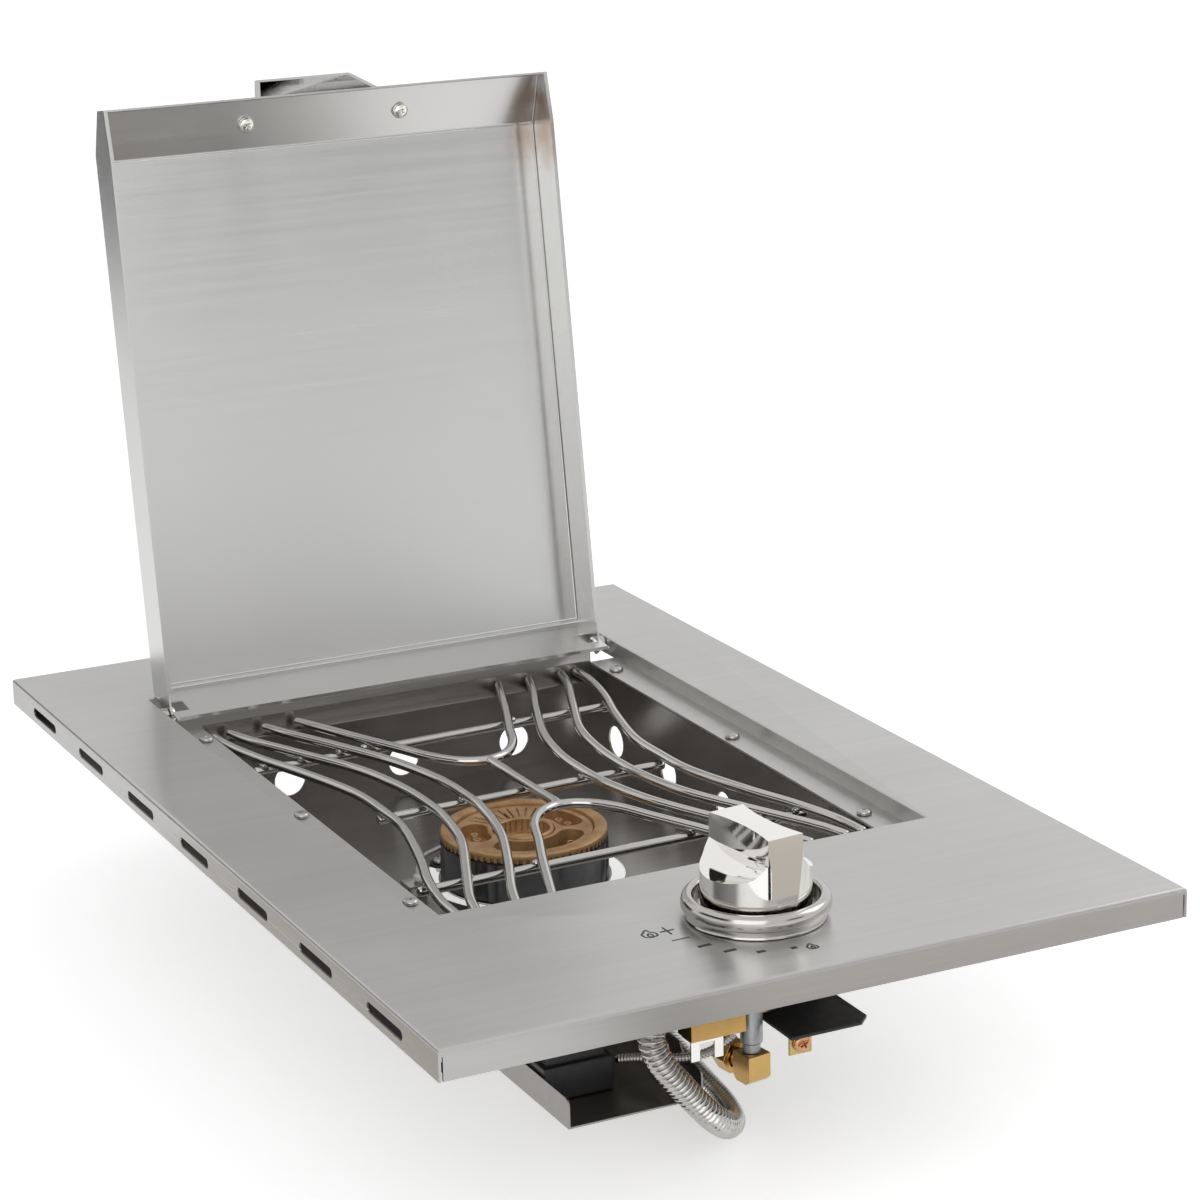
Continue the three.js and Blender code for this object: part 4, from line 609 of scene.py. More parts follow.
def place(tree, group, coordinates, **values):
    node = tree.nodes.new("ShaderNodeGroup")
    node.node_tree = group
    tree.links.new(coordinates, node.inputs["Place"])
    for label, value in values.items():
        node.inputs[label].default_value = value
    return node


def blankFinish(metallic=1.0):
    material = bpy.data.materials.new("finish")
    material.use_nodes = True
    tree = material.node_tree
    shader = tree.nodes["Principled BSDF"]
    shader.inputs["Metallic"].default_value = metallic
    coordinates = tree.nodes.new("ShaderNodeTexCoord").outputs["Object"]
    return material, tree, shader, coordinates


def addGrainDirection(tree, shader, amount):
    # the grain runs along X, and along Y on faces that look along X
    shader.inputs["Anisotropic"].default_value = amount
    shader.inputs["Anisotropic Rotation"].default_value = 0.25
    along = tree.nodes.new("ShaderNodeCombineXYZ")
    along.inputs["X"].default_value = 1.0
    along.inputs["Y"].default_value = 0.03
    along.inputs["Z"].default_value = 0.01
    turned = tree.nodes.new("ShaderNodeVectorTransform")
    turned.vector_type = "VECTOR"
    turned.convert_from = "OBJECT"
    turned.convert_to = "WORLD"
    tree.links.new(along.outputs[0], turned.inputs[0])
    tree.links.new(turned.outputs[0], shader.inputs["Tangent"])


def addBump(tree, shader, height, strength, distance):
    bump = tree.nodes.new("ShaderNodeBump")
    bump.inputs["Strength"].default_value = strength
    bump.inputs["Distance"].default_value = distance * mm
    tree.links.new(height, bump.inputs["Height"])
    tree.links.new(bump.outputs["Normal"], shader.inputs["Normal"])


def paintedShadeMask(tree, coordinates, limits):
    # painted shade mask under the plate: one inside the skirt of the plate and outside the opening's walls,
    # nought elsewhere
    parts = tree.nodes.new("ShaderNodeSeparateXYZ")
    tree.links.new(coordinates, parts.inputs[0])
    across = mathNode(tree, "ABSOLUTE", parts.outputs["X"], 0)
    along = mathNode(tree, "ABSOLUTE", parts.outputs["Y"], 0)
    skirt = mathNode(
        tree,
        "MULTIPLY",
        mathNode(tree, "LESS_THAN", across, limits["skirtX"] * mm),
        mathNode(tree, "LESS_THAN", along, limits["skirtY"] * mm),
    )
    wall = mathNode(
        tree,
        "MAXIMUM",
        mathNode(tree, "GREATER_THAN", across, limits["wallX"] * mm),
        mathNode(tree, "GREATER_THAN", along, limits["wallY"] * mm),
    )
    below = mathNode(tree, "LESS_THAN", parts.outputs["Z"], limits["z"] * mm)
    return mathNode(tree, "MULTIPLY", mathNode(tree, "MULTIPLY", skirt, wall), below)


def brushedFinish(
    dark, light, rough, stretch, contrast=1.0, bump=0.12, clouds=0.25, stains=(), direction=0.0, inside=None
):
    material, tree, shader, coordinates = blankFinish()
    grain = place(tree, brushGrain, coordinates, Stretch=stretch, Contrast=contrast)
    cloudy = place(tree, softClouds, coordinates)
    shade = mathNode(
        tree,
        "ADD",
        mathNode(tree, "MULTIPLY", grain.outputs["Streaks"], 1 - clouds),
        mathNode(tree, "MULTIPLY", cloudy.outputs["Clouds"], clouds),
    )
    colour = mixColour(tree, shade, dark, light)
    for centre, radius, stain in stains:
        spot = place(tree, heatSpot, coordinates, Centre=[v * mm for v in centre], Radius=radius * mm)
        colour = mixColour(tree, spot.outputs["Stain"], colour, stain)
    # painted shade: the plate's inside, under its top and within its skirt, is mixed towards a dark colour
    if inside:
        colour = mixColour(tree, paintedShadeMask(tree, coordinates, inside), colour, inside["colour"])
    if direction:
        addGrainDirection(tree, shader, direction)
    tree.links.new(colour, shader.inputs["Base Color"])
    tree.links.new(mapped(tree, shade, rough[0], rough[1]), shader.inputs["Roughness"])
    addBump(tree, shader, grain.outputs["Scratches"], bump, 0.05)
    return material


def castFinish(dark, light, rough, metallic, size=900.0, bump=0.5, depth=0.08):
    material, tree, shader, coordinates = blankFinish(metallic)
    grain = place(tree, castGrain, coordinates, Size=size)
    tree.links.new(mixColour(tree, grain.outputs["Shade"], dark, light), shader.inputs["Base Color"])
    tree.links.new(mapped(tree, grain.outputs["Shade"], rough[1], rough[0]), shader.inputs["Roughness"])
    addBump(tree, shader, grain.outputs["Pits"], bump, depth)
    return material


def polishedFinish(dark, light, rough, size=14.0):
    material, tree, shader, coordinates = blankFinish()
    cloudy = place(tree, softClouds, coordinates, Size=size)
    tree.links.new(mixColour(tree, cloudy.outputs["Clouds"], dark, light), shader.inputs["Base Color"])
    tree.links.new(mapped(tree, cloudy.outputs["Clouds"], rough[0], rough[1]), shader.inputs["Roughness"])
    return material


# the plate's inside, darkened with painted shade, in millimetres
plateShadeInside = {
    "skirtX": 179.2,
    "skirtY": 278.7,
    "wallX": 131,
    "wallY": 212,
    "z": 12.7,
    "colour": (0.05, 0.043, 0.04),
}
finishes = {
    "plateSteel": brushedFinish(
        (0.44, 0.435, 0.425), (0.56, 0.555, 0.545), (0.27, 0.36), (10, 700, 700), 0.9,
        direction=0.88,
        # the plate's inside gets painted shade
        inside=plateShadeInside,
    ),
    "lidSteel": brushedFinish(
        (0.58, 0.578, 0.57), (0.69, 0.688, 0.68), (0.2, 0.3), (10, 700, 700), 0.6,
        direction=0.8,
        stains=(
            ((118, 240, 300), 14, (0.30, 0.17, 0.10)),
            ((122, 236, 285), 26, (0.44, 0.36, 0.30)),
        ),
    ),
    "bowlSteel": brushedFinish(
        (0.27, 0.255, 0.24), (0.40, 0.385, 0.37), (0.2, 0.3), (10, 500, 500), 0.7,
        direction=0.7,
    ),
    "rodSteel": brushedFinish(
        (0.40, 0.39, 0.375), (0.52, 0.51, 0.495), (0.08, 0.13), (200, 200, 200), 0.4, 0.03,
    ),
    "screwSteel": polishedFinish((0.34, 0.33, 0.32), (0.46, 0.45, 0.44), (0.16, 0.24), 120),
    "hoseSteel": polishedFinish((0.44, 0.43, 0.41), (0.58, 0.57, 0.54), (0.12, 0.2), 60),
    "castBrass": castFinish((0.38, 0.215, 0.10), (0.66, 0.42, 0.21), (0.42, 0.6), 0.6),
    "turnedBrass": brushedFinish(
        (0.50, 0.31, 0.11), (0.66, 0.44, 0.17), (0.2, 0.3), (400, 400, 90), 0.8, 0.06,
    ),
    "dullBrass": castFinish((0.36, 0.23, 0.10), (0.55, 0.38, 0.17), (0.3, 0.45), 1.0, 500, 0.25),
    "blackCoat": castFinish((0.010, 0.010, 0.011), (0.022, 0.021, 0.022), (0.36, 0.5), 0.0, 1400, 0.25, 0.03),
    "blackPlastic": castFinish(
        (0.012, 0.012, 0.014), (0.02, 0.02, 0.023), (0.3, 0.42), 0.0, 2200, 0.12, 0.02,
    ),
    "whiteCeramic": castFinish((0.72, 0.70, 0.66), (0.84, 0.83, 0.80), (0.16, 0.3), 0.0, 300, 0.08, 0.03),
    "greyCasting": castFinish((0.27, 0.28, 0.29), (0.43, 0.44, 0.46), (0.34, 0.5), 1.0, 420, 0.3, 0.06),
    "satinChrome": brushedFinish(
        (0.40, 0.385, 0.365), (0.52, 0.505, 0.48), (0.13, 0.2), (60, 60, 700), 0.5, 0.03,
    ),
    "brightChrome": polishedFinish((0.76, 0.745, 0.71), (0.84, 0.83, 0.80), (0.03, 0.07)),
    "yellowZinc": polishedFinish((0.50, 0.42, 0.16), (0.66, 0.58, 0.26), (0.25, 0.38), 160),
    "copperPlate": polishedFinish((0.55, 0.26, 0.14), (0.72, 0.42, 0.24), (0.18, 0.3), 200),
    "blackInk": castFinish((0.02, 0.02, 0.02), (0.04, 0.04, 0.04), (0.5, 0.65), 0.0, 3000, 0.1, 0.01),
}
for name, material in finishes.items():
    material.name = name
print("finishes")


# Cutting tools
def roundTool(diameter, low, high, matrix, sides=48):
    clearSelection()
    bpy.ops.mesh.primitive_cylinder_add(
        vertices=sides,
        radius=diameter / 2 * mm,
        depth=(high - low) * mm,
        location=(0, 0, (high + low) / 2 * mm),
    )
    tool = bpy.context.object
    settle(tool)
    return moved(tool, matrix)


def stadiumTool(length, width, depth, matrix):
    # a slot cutter with round ends, its length along Y and its depth along X
    half = length / 2 - width / 2
    tool = addBox("slotTool", (-depth, -half, -width / 2), (depth, half, width / 2))
    for end in (-half, half):
        nose = roundTool(width, -depth, depth, at(0, end, 0) @ turnedBy(quarterTurn, "Y"))
        boolean(tool, nose, "UNION")
    return moved(tool, matrix)


# Trim plate
plateSheet = {
    "halfWidth": 180,
    "slotLength": 37,
    "slotHeight": 5,
    "slotReach": 4,
    "slotPitch": 75,
    "slotZ": 6,
    "rearFold": ((-129.55, 209.55, -12), (129.55, 210.6, 12.9)),
    "edgeWidth": 0.22,
}


def buildPlate(setup):
    plate = refined("trim_plate", "plateSheet", 0)
    for row in range(-3, 4):
        for side in (-1, 1):
            spot = at(side * setup["halfWidth"], row * setup["slotPitch"], setup["slotZ"])
            boolean(plate, stadiumTool(setup["slotLength"], setup["slotHeight"], setup["slotReach"], spot))
    fold = addBox("rearFold", *setup["rearFold"])
    boolean(plate, fold, "UNION")
    softenEdges(plate, setup["edgeWidth"])
    weighNormals(plate, 40)
    dress(plate, "plateSteel", "root", "trim_steel", "trim_plate")


buildPlate(plateSheet)
print("trim plate")


# Burner bowl with its vents and the two kidney slots in its floor
bowlPan = {
    "halfWidth": 112,
    "rearY": 174,
    "middleY": 22.5,
    "ventDiameter": 17,
    "ventZ": -31.5,
    "rearPitch": 65,
    "sidePitch": 61,
    "floorZ": -46.3,
    "burnerY": 23.5,
    "slotInner": 43.1,
    "slotOuter": 50.0,
    "slotAngle": 1.9,
    "slotReach": 3,
    "slotSteps": 28,
    "ventReach": 4,
    "rearHem": ((-111.9, 173.3, -3), (111.9, 174.7, 6.4)),
    "edgeWidth": 0.18,
}


def spunStrip(middle, width, low, high, start, angle, steps):
    # a stretch of ring, spun from a thin strip
    clearSelection()
    bpy.ops.mesh.primitive_plane_add(size=1)
    tool = bpy.context.object
    tool.rotation_euler = (quarterTurn, 0, 0)
    tool.scale = (width * mm, (high - low) * mm, 1)
    tool.location = (middle * mm, 0, (low + high) / 2 * mm)
    settle(tool)
    moved(tool, turnedBy(start, "Z"))
    editAll(tool)
    bpy.ops.mesh.spin(steps=steps, angle=-angle, center=(0, 0, 0), axis=(0, 0, 1))
    leaveEdit()
    tidyMesh(tool)
    return tool


def kidneyTool(setup, side):
    inner, outer, angle = setup["slotInner"], setup["slotOuter"], setup["slotAngle"]
    low, high = setup["floorZ"] - setup["slotReach"], setup["floorZ"] + setup["slotReach"]
    tool = spunStrip((inner + outer) / 2, outer - inner, low, high, -angle / 2, angle, setup["slotSteps"])
    return moved(tool, at(0, setup["burnerY"], 0) @ turnedBy(0 if side > 0 else math.pi, "Z"))


def buildBowl(setup):
    bowl = refined("burner_bowl", "bowlPan", 0)
    vent, reach = setup["ventDiameter"], setup["ventReach"]
    for place in (-1, 0, 1):
        spot = at(place * setup["rearPitch"], setup["rearY"], setup["ventZ"])
        boolean(bowl, roundTool(vent, -reach, reach, spot @ turnedBy(quarterTurn, "X")))
    for row in range(-2, 3):
        for side in (-1, 1):
            y = setup["middleY"] + row * setup["sidePitch"]
            spot = at(side * setup["halfWidth"], y, setup["ventZ"])
            boolean(bowl, roundTool(vent, -reach, reach, spot @ turnedBy(quarterTurn, "Y")))
    for side in (-1, 1):
        boolean(bowl, kidneyTool(setup, side))
    boolean(bowl, addBox("rearHem", *setup["rearHem"]), "UNION")
    softenEdges(bowl, setup["edgeWidth"])
    weighNormals(bowl, 40)
    dress(bowl, "bowlSteel", "root", "bowl_steel", "burner_bowl")
    for place in ("front", "rear"):
        rest = refined("grate_rest_" + place, place + "RestStrip", 0.2)
        dress(rest, "bowlSteel", "root", "bowl_steel", "grate_rest_" + place)


buildBowl(bowlPan)
print("burner bowl")


# Lid tray and its strap handle; the beads are in the frame of the closed lid's hinge
lidHinge = (0, 190.5, 10)
lidFrame = at(*lidHinge) @ turnedBy(math.radians(-98.5), "X")
lidBeads = {
    "diameter": 1.1,
    "routes": (
        (
            (-122.9, -12, 20.25), (-122.9, -284.5, 20.25), (122.9, -284.5, 20.25), (122.9, -12, 20.25),
            (-122.9, -12, 20.25),
        ),
        ((-122.9, -284.5, 20.25), (-122.9, -309.5, 8.6)),
        ((122.9, -284.5, 20.25), (122.9, -309.5, 8.6)),
    ),
}


def buildLid():
    tray = refined("lid_tray", "lidSheet", 0.2)
    dress(tray, "lidSteel", "lid", "lid_steel", "lid_tray")
    strap = refined("lid_handle", "lidStrap", 0.45, 3)
    dress(strap, "rodSteel", "lid", "bright_steel", "lid_handle")
    beads = []
    for route in lidBeads["routes"]:
        line = [Vector(point) for point in route]
        beads.append(moved(addTube("lidBead", line, lidBeads["diameter"], sides=3), lidFrame))
    seam = joinPieces("lidBeadSeams", beads)
    shadeSmooth(seam, 60)
    dress(seam, "lidSteel", "lid", "lid_steel")


buildLid()
print("lid")


# Screws: one pan head with a Phillips cross, copied to every place
panHead = {
    "headDiameter": 7.4,
    "headHeight": 2.2,
    "shankDiameter": 4,
    "grip": 5,
    "crossWidth": 0.95,
    "crossLength": 4.2,
    "crossDepth": 1.5,
}


# what all heads share: the profile is in shares of the head's radius and height
crossTaper = (0.55, 0.55, 1)
headEdge = 0.07
headProfile = ((0.97, 0), (1, 0.12), (0.98, 0.42), (0.9, 0.68), (0.72, 0.87), (0.46, 0.96), (0.2, 1))


def buildScrew(setup, name="panScrew"):
    radius = setup["headDiameter"] / 2
    height = setup["headHeight"]
    shank = setup["shankDiameter"] / 2
    head = [(radius * across, height * up) for across, up in headProfile]
    screw = addRound(name, [(shank, -setup["grip"]), (shank, 0), *head], 40)
    half = setup["crossLength"] / 2
    slim = setup["crossWidth"] / 2
    for across in (0, 1):
        reach = (slim, half) if across else (half, slim)
        tool = addBox(
            "crossTool",
            (-reach[0], -reach[1], height - setup["crossDepth"]),
            (reach[0], reach[1], height + 1),
        )
        pickFaces(tool, lambda centre, normal: normal.z < -0.5)
        bpy.ops.transform.resize(value=crossTaper)
        leaveEdit()
        boolean(screw, tool)
    softenEdges(screw, headEdge, 2, 40)
    shadeSmooth(screw, 35)
    return screw


# two rows of three through the ledge, then the others, each turned a little further than the last
screwPlaces = {
    "burner_screw_left": (-32.15, 55.65, -44.2),
    "burner_screw_right": (32.15, 55.65, -44.2),
    "channel_screw_left": (-98.5, -99.5, -46.0),
    "channel_screw_right": (-21.0, -99.5, -46.0),
}
bowlScrews = {"x": 117.4, "rows": (-108.0, 22.5, 153.0), "z": 5.8, "turn": 0.7}


def buildScrews(setup, places):
    master = buildScrew(setup)
    spots = [(side * bowlScrews["x"], y, bowlScrews["z"]) for side in (-1, 1) for y in bowlScrews["rows"]]
    rows = {f"bowl_screw_{index + 1}": spot for index, spot in enumerate(spots)}
    for index, (node, (x, y, z)) in enumerate({**rows, **places}.items()):
        kind, screw, place = node.split("_")
        name = kind + screw.title() + place.title() + "Cross"
        screw = copyOf(master, name, at(x, y, z) @ turnedBy(bowlScrews["turn"] * index, "Z"))
        dress(screw, "screwSteel", "root", "bright_steel", node)
    bpy.data.objects.remove(master)


buildScrews(panHead, screwPlaces)
print("screws")


# Grate: bowed rods, two loops and a spoke welded on three cross rods
grateForm = {
    "rodDiameter": 4.9,
    "halfWidth": 112,
    "halfLength": 147.5,
    "middleY": 22.5,
    "axisZ": 2.5,
    "crossZ": -2.7,
    "skew": 0.0227,
    "outer": [(0.692, 0), (0.705, 0.203), (0.795, 0.475), (0.875, 0.664), (0.93, 0.848), (0.943, 1)],
    "middle": [(0.482, 0), (0.496, 0.176), (0.554, 0.393), (0.688, 0.644), (0.813, 0.868), (0.862, 1)],
    "inner": [(0.295, 0), (0.308, 0.176), (0.375, 0.407), (0.5, 0.651), (0.625, 0.868), (0.688, 1)],
    "loop": [
        (0, 0.264), (0.112, 0.298), (0.205, 0.393), (0.277, 0.529), (0.375, 0.705), (0.473, 0.895),
        (0.527, 1),
    ],
    "crossHalf": 0.92,
    "crossY": 0.661,
    "crossMiddle": 0.705,
}


def grateRoute(setup, shares, sideX, sideY):
    halfX, halfY = setup["halfWidth"], setup["halfLength"]
    return [(sideX * x * halfX, sideY * y * halfY, setup["axisZ"]) for x, y in shares]


def addRod(setup, name, route, steps):
    # the rod's ends are ground round: the last points draw in
    line = curvePoints(route, steps)
    radius = setup["rodDiameter"] / 2
    start, end = line[0], line[-1]
    first = (line[1] - start).normalized()
    last = (end - line[-2]).normalized()
    inset = [(0.0, 0.55), (0.12, 0.8), (0.35, 0.95), (0.7, 1.0)]
    head = [start + first * radius * along for along, width in inset]
    tail = [end - last * radius * along for along, width in reversed(inset)]
    widths = [width for along, width in inset]
    radii = widths + [1] * (len(line) - 2) + widths[::-1]
    rod = addTube(name, [*head, *line[1:-1], *tail], setup["rodDiameter"], radii)
    shadeSmooth(rod, 40)
    return rod


def addWeldBead(setup, x, y):
    # a squashed bead that wraps the place where two rods cross
    clearSelection()
    bpy.ops.mesh.primitive_uv_sphere_add(segments=20, ring_count=12, radius=setup["rodDiameter"] * 0.5 * mm)
    bead = bpy.context.object
    bpy.ops.transform.resize(value=(0.95, 0.95, 0.62))
    settle(bead)
    moved(bead, at(x, y, (setup["axisZ"] + setup["crossZ"]) / 2))
    shadeSmooth(bead, 60)
    return bead


def placeGrate(setup, piece):
    return moved(piece, at(0, setup["middleY"], 0) @ turnedBy(setup["skew"], "Z"))


def buildGrate(setup):
    halfX, halfY = setup["halfWidth"], setup["halfLength"]

    def bowed(name, side, shares):
        front = grateRoute(setup, shares[:0:-1], side, -1)
        rear = grateRoute(setup, shares, side, 1)
        return addRod(setup, name, front + rear, 8)

    def straight(name, x, y):
        ends = [(sign * x * halfX, y * halfY, setup["crossZ"]) for sign in (-1, 1)]
        return addRod(setup, name, ends, 24)

    frameParts = []
    insideParts = [straight("crossMiddle", setup["crossMiddle"], 0)]
    weldRows = (
        ("outer", 3, frameParts), ("middle", 3, frameParts),
        ("inner", 3, insideParts), ("loop", 4, frameParts),
    )
    for side in (-1, 1):
        frameParts.append(bowed("outerRod", side, setup["outer"]))
        frameParts.append(straight("crossRod", setup["crossHalf"], side * setup["crossY"]))
        insideParts.append(bowed("innerRod", side, setup["inner"]))
        insideParts.append(addWeldBead(setup, side * setup["inner"][0][0] * halfX, 0))
        for end in (-1, 1):
            for shares, index, parts in weldRows:
                x = setup[shares][index][0]
                parts.append(addWeldBead(setup, side * x * halfX, end * setup["crossY"] * halfY))
    loopParts = []
    for end in (-1, 1):
        left = grateRoute(setup, setup["loop"][:0:-1], -1, end)
        right = grateRoute(setup, setup["loop"], 1, end)
        loopParts.append(addRod(setup, "loopRod", left + right, 7))
        loopParts.append(addWeldBead(setup, 0, end * setup["loop"][0][1] * halfY))
        moved(loopParts[-1], at(0, 0, (setup["axisZ"] - setup["crossZ"]) / 2))
    spoke = setup["loop"][0][1] * halfY
    loopParts.append(addRod(setup, "spoke", [(0, -spoke, setup["axisZ"]), (0, spoke, setup["axisZ"])], 12))
    singles = [
        (joinPieces("grateFrameRods", frameParts), "grate_frame"),
        (joinPieces("grateInnerRods", insideParts), "grate_inner_rods"),
        (joinPieces("grateLoopRods", loopParts), "grate_loops"),
        (bowed("grateLeftRod", -1, setup["middle"]), "grate_rod_left"),
        (bowed("grateRightRod", 1, setup["middle"]), "grate_rod_right"),
    ]
    for piece, node in singles:
        placeGrate(setup, piece)
        dress(piece, "rodSteel", "grate", "bright_steel", node)


buildGrate(grateForm)
print("grate")


# Burner: black pot, toothed brass ring, cast spider with pockets, ribbed cup and jet posts
burnerForm = {
    "y": 23.5,
    "ringOuter": 41.5,
    "ringInner": 35.0,
    "ringTop": -21.0,
    "ringBandTop": -23.3,
    "ringFoot": -25.7,
    "toothDepth": 1.4,
    "teeth": 72,
    "spiderRadius": 34.7,
    "spiderTop": -22.5,
    "spiderFoot": -34.5,
    "pocketOuter": 31.2,
    "pocketInner": 18.0,
    "cupOuter": 15.0,
    "cupTop": -21.5,
    "cupDish": -28.5,
    "cupFoot": -44.2,
    "cupRibs": 26,
    "cupPorts": 11,
    "jetAngle": 0.78,
    "jetTop": -26.7,
    "toothWidth": 1.7,
    "ribWidth": 0.84,
    "portDiameter": 1.5,
    "portStep": 0.21,
    # where each pocket starts and stops, in radians, and its floor
    "pockets": ((-2.62, -0.52, -35.5), (-0.3, 0.75, -28.5), (2.35, 3.4, -28.5)),
    "pins": (0.05, 0.35, 2.75, 3.05),
    "grooves": {"count": 9, "start": 0.93, "span": 1.28, "width": 0.9, "depth": 1.3},
}


def placeCasting(setup, piece, node):
    moved(piece, at(0, setup["y"], 0))
    dress(piece, "castBrass", "root", "burner_brass", node)


def arcTool(inner, outer, start, stop, low, high, steps=36):
    # a curved pocket cutter with round ends
    middle = (inner + outer) / 2
    width = outer - inner
    reach = width / 2 / middle
    tool = spunStrip(middle, width, low, high, start + reach, stop - start - 2 * reach, steps)
    for turn in (start + reach, stop - reach):
        nose = roundTool(width, low, high, turnedBy(turn, "Z") @ at(middle, 0, 0), 32)
        boolean(tool, nose, "UNION")
    return tool


def radialTools(piece, count, start, step, tool, axis="Z"):
    # the same cut again and again round the axis
    for i in range(count):
        boolean(piece, copyOf(tool, "radialTool", turnedBy(start + i * step, axis)))
    bpy.data.objects.remove(tool)


def buildRing(setup):
    outer, inner, top = setup["ringOuter"], setup["ringInner"], setup["ringTop"]
    band = setup["ringBandTop"]
    cap = addRound("ringCap", [
        (inner, band), (outer, band), (outer, top - 0.9), (outer - 0.25, top - 0.45),
        (outer - 0.8, top - 0.12), (outer - 1.5, top), (inner + 0.9, top - 0.05), (inner + 0.25, top - 0.3),
        (inner, top - 0.9), (inner, band),
    ], 144, True)
    root = outer - setup["toothDepth"]
    drum = addRound("ringDrum", [
        (root - 2.4, setup["ringFoot"]), (root, setup["ringFoot"]), (root, band + 0.05),
        (root - 2.4, band + 0.05), (root - 2.4, setup["ringFoot"]),
    ], 144, True)
    parts = [cap, drum]
    half = setup["toothWidth"] / 2
    tooth = addBox("ringTooth", (root - 0.3, -half, setup["ringFoot"]), (outer - 0.12, half, band + 0.1))
    softenEdges(tooth, 0.18, 2)
    for i in range(setup["teeth"]):
        parts.append(copyOf(tooth, "ringTooth", turnedBy(2 * math.pi * i / setup["teeth"], "Z")))
    bpy.data.objects.remove(tooth)
    ring = joinPieces("burnerRingTeeth", parts)
    shadeSmooth(ring, 35)
    placeCasting(setup, ring, "burner_ring")


def buildSpider(setup):
    radius, top, foot = setup["spiderRadius"], setup["spiderTop"], setup["spiderFoot"]
    hole = setup["cupOuter"] + 0.3
    spider = addRound("burnerCasting", [
        (hole, foot), (radius, foot), (radius, top - 0.5), (radius - 0.5, top), (hole + 0.5, top),
        (hole, top - 0.5), (hole, foot),
    ], 96, True)
    inner, outer = setup["pocketInner"], setup["pocketOuter"]
    for start, stop, floor in setup["pockets"]:
        boolean(spider, arcTool(inner, outer, start, stop, floor, top + 1))
    cuts = setup["grooves"]
    half = cuts["width"] / 2
    groove = addBox("grooveTool", (inner, -half, top - cuts["depth"]), (outer, half, top + 1))
    radialTools(spider, cuts["count"], cuts["start"], cuts["span"] / (cuts["count"] - 1), groove)
    softenEdges(spider, 0.35, 2, 40)
    shadeSmooth(spider, 40)
    parts = [spider]
    middle = (inner + outer) / 2
    for turn in setup["pins"]:
        pin = addRound("pocketPost", [
            (2.1, top - 6.4), (2.1, top - 1.9), (1.9, top - 1.6), (1.15, top - 1.6), (1.0, top - 1.8),
            (1.0, top - 3.6),
        ], 28)
        shadeSmooth(pin, 35)
        parts.append(moved(pin, at(middle * math.cos(turn), middle * math.sin(turn), 0)))
    spider = joinPieces("burnerCasting", parts)
    placeCasting(setup, spider, "burner_spider")


def buildCup(setup):
    outer, top, dish = setup["cupOuter"], setup["cupTop"], setup["cupDish"]
    rim = outer - 2
    cup = addRound("burnerCupRibbed", [
        (8.2, setup["cupFoot"]), (outer, setup["cupFoot"]), (outer, top - 0.9), (outer - 0.25, top - 0.4),
        (outer - 0.8, top), (rim + 0.3, top), (rim - 0.1, top - 0.4), (rim - 0.6, dish + 0.2),
        (rim - 1.2, dish - 0.1), (rim - 2.6, dish), (rim - 3.4, dish - 0.4), (rim - 4.4, dish - 1.4),
        (rim - 6.5, dish - 1.85), (2, dish - 2),
    ], 96)
    half = setup["ribWidth"] / 2
    rib = addBox("ribTool", (rim - 1.2, -half, dish + 0.7), (rim + 0.35, half, top - 0.9))
    count = setup["cupRibs"]
    radialTools(cup, count, 0, 2 * math.pi / count, rib)
    ports, step = setup["cupPorts"], setup["portStep"]
    across = at(0, 0, dish + 2.4) @ turnedBy(quarterTurn, "Y")
    port = roundTool(setup["portDiameter"], outer - 1.4, outer + 1, across, 20)
    radialTools(cup, ports, -quarterTurn - (ports - 1) / 2 * step, step, port)
    softenEdges(cup, 0.12, 2, 45)
    shadeSmooth(cup, 35)
    placeCasting(setup, cup, "burner_cup")


def buildPot(setup):
    pot = refined("burner_pot", "burnerPotShell", 0)
    skin = addRound("burnerPotShell", [
        (41.8, -46.0), (41.8, -26.6), (41.2, -26.0), (35.3, -26.0), (35.3, -34.8), (33.2, -34.8),
        (33.2, -36.3), (38.8, -37.8), (38.8, -44.5), (9.6, -44.5), (9.6, -46.0), (41.8, -46.0),
    ], 96, True)
    moved(skin, at(0, setup["y"], 0))
    boolean(skin, pot, "UNION")
    softenEdges(skin, 0.3, 2, 40)
    shadeSmooth(skin, 35)
    dress(skin, "blackCoat", "root", "black_enamel", "burner_pot")


def buildJetPosts(setup):
    middle = (setup["pocketInner"] + setup["pocketOuter"]) / 2
    top = setup["jetTop"]
    for side, word in ((-1, "left"), (1, "right")):
        turn = -quarterTurn + side * setup["jetAngle"]
        spot = at(middle * math.cos(turn), setup["y"] + middle * math.sin(turn), 0)
        look = ("turnedBrass", "root", "burner_brass")
        turnedPiece(word + "JetPost", [
            (3.55, -44.2), (3.55, -42.4), (2.73, -42.2), (2.73, top - 0.3), (2.5, top), (1.5, top),
            (1.3, top - 0.2), (1.3, top - 4),
        ], spot, look, "jet_post_" + word, 40)


buildRing(burnerForm)
buildSpider(burnerForm)
buildCup(burnerForm)
buildPot(burnerForm)
buildJetPosts(burnerForm)
print("burner")


# Igniter electrode beside the burner
electrodeForm = {
    "x": -56.0,
    "y": 23.5,
    "foot": -44.5,
    "height": 14,
    "radius": 3.8,
    "wire": 2.4,
    "tip": (-45.2, 23.5, -23.5),
}


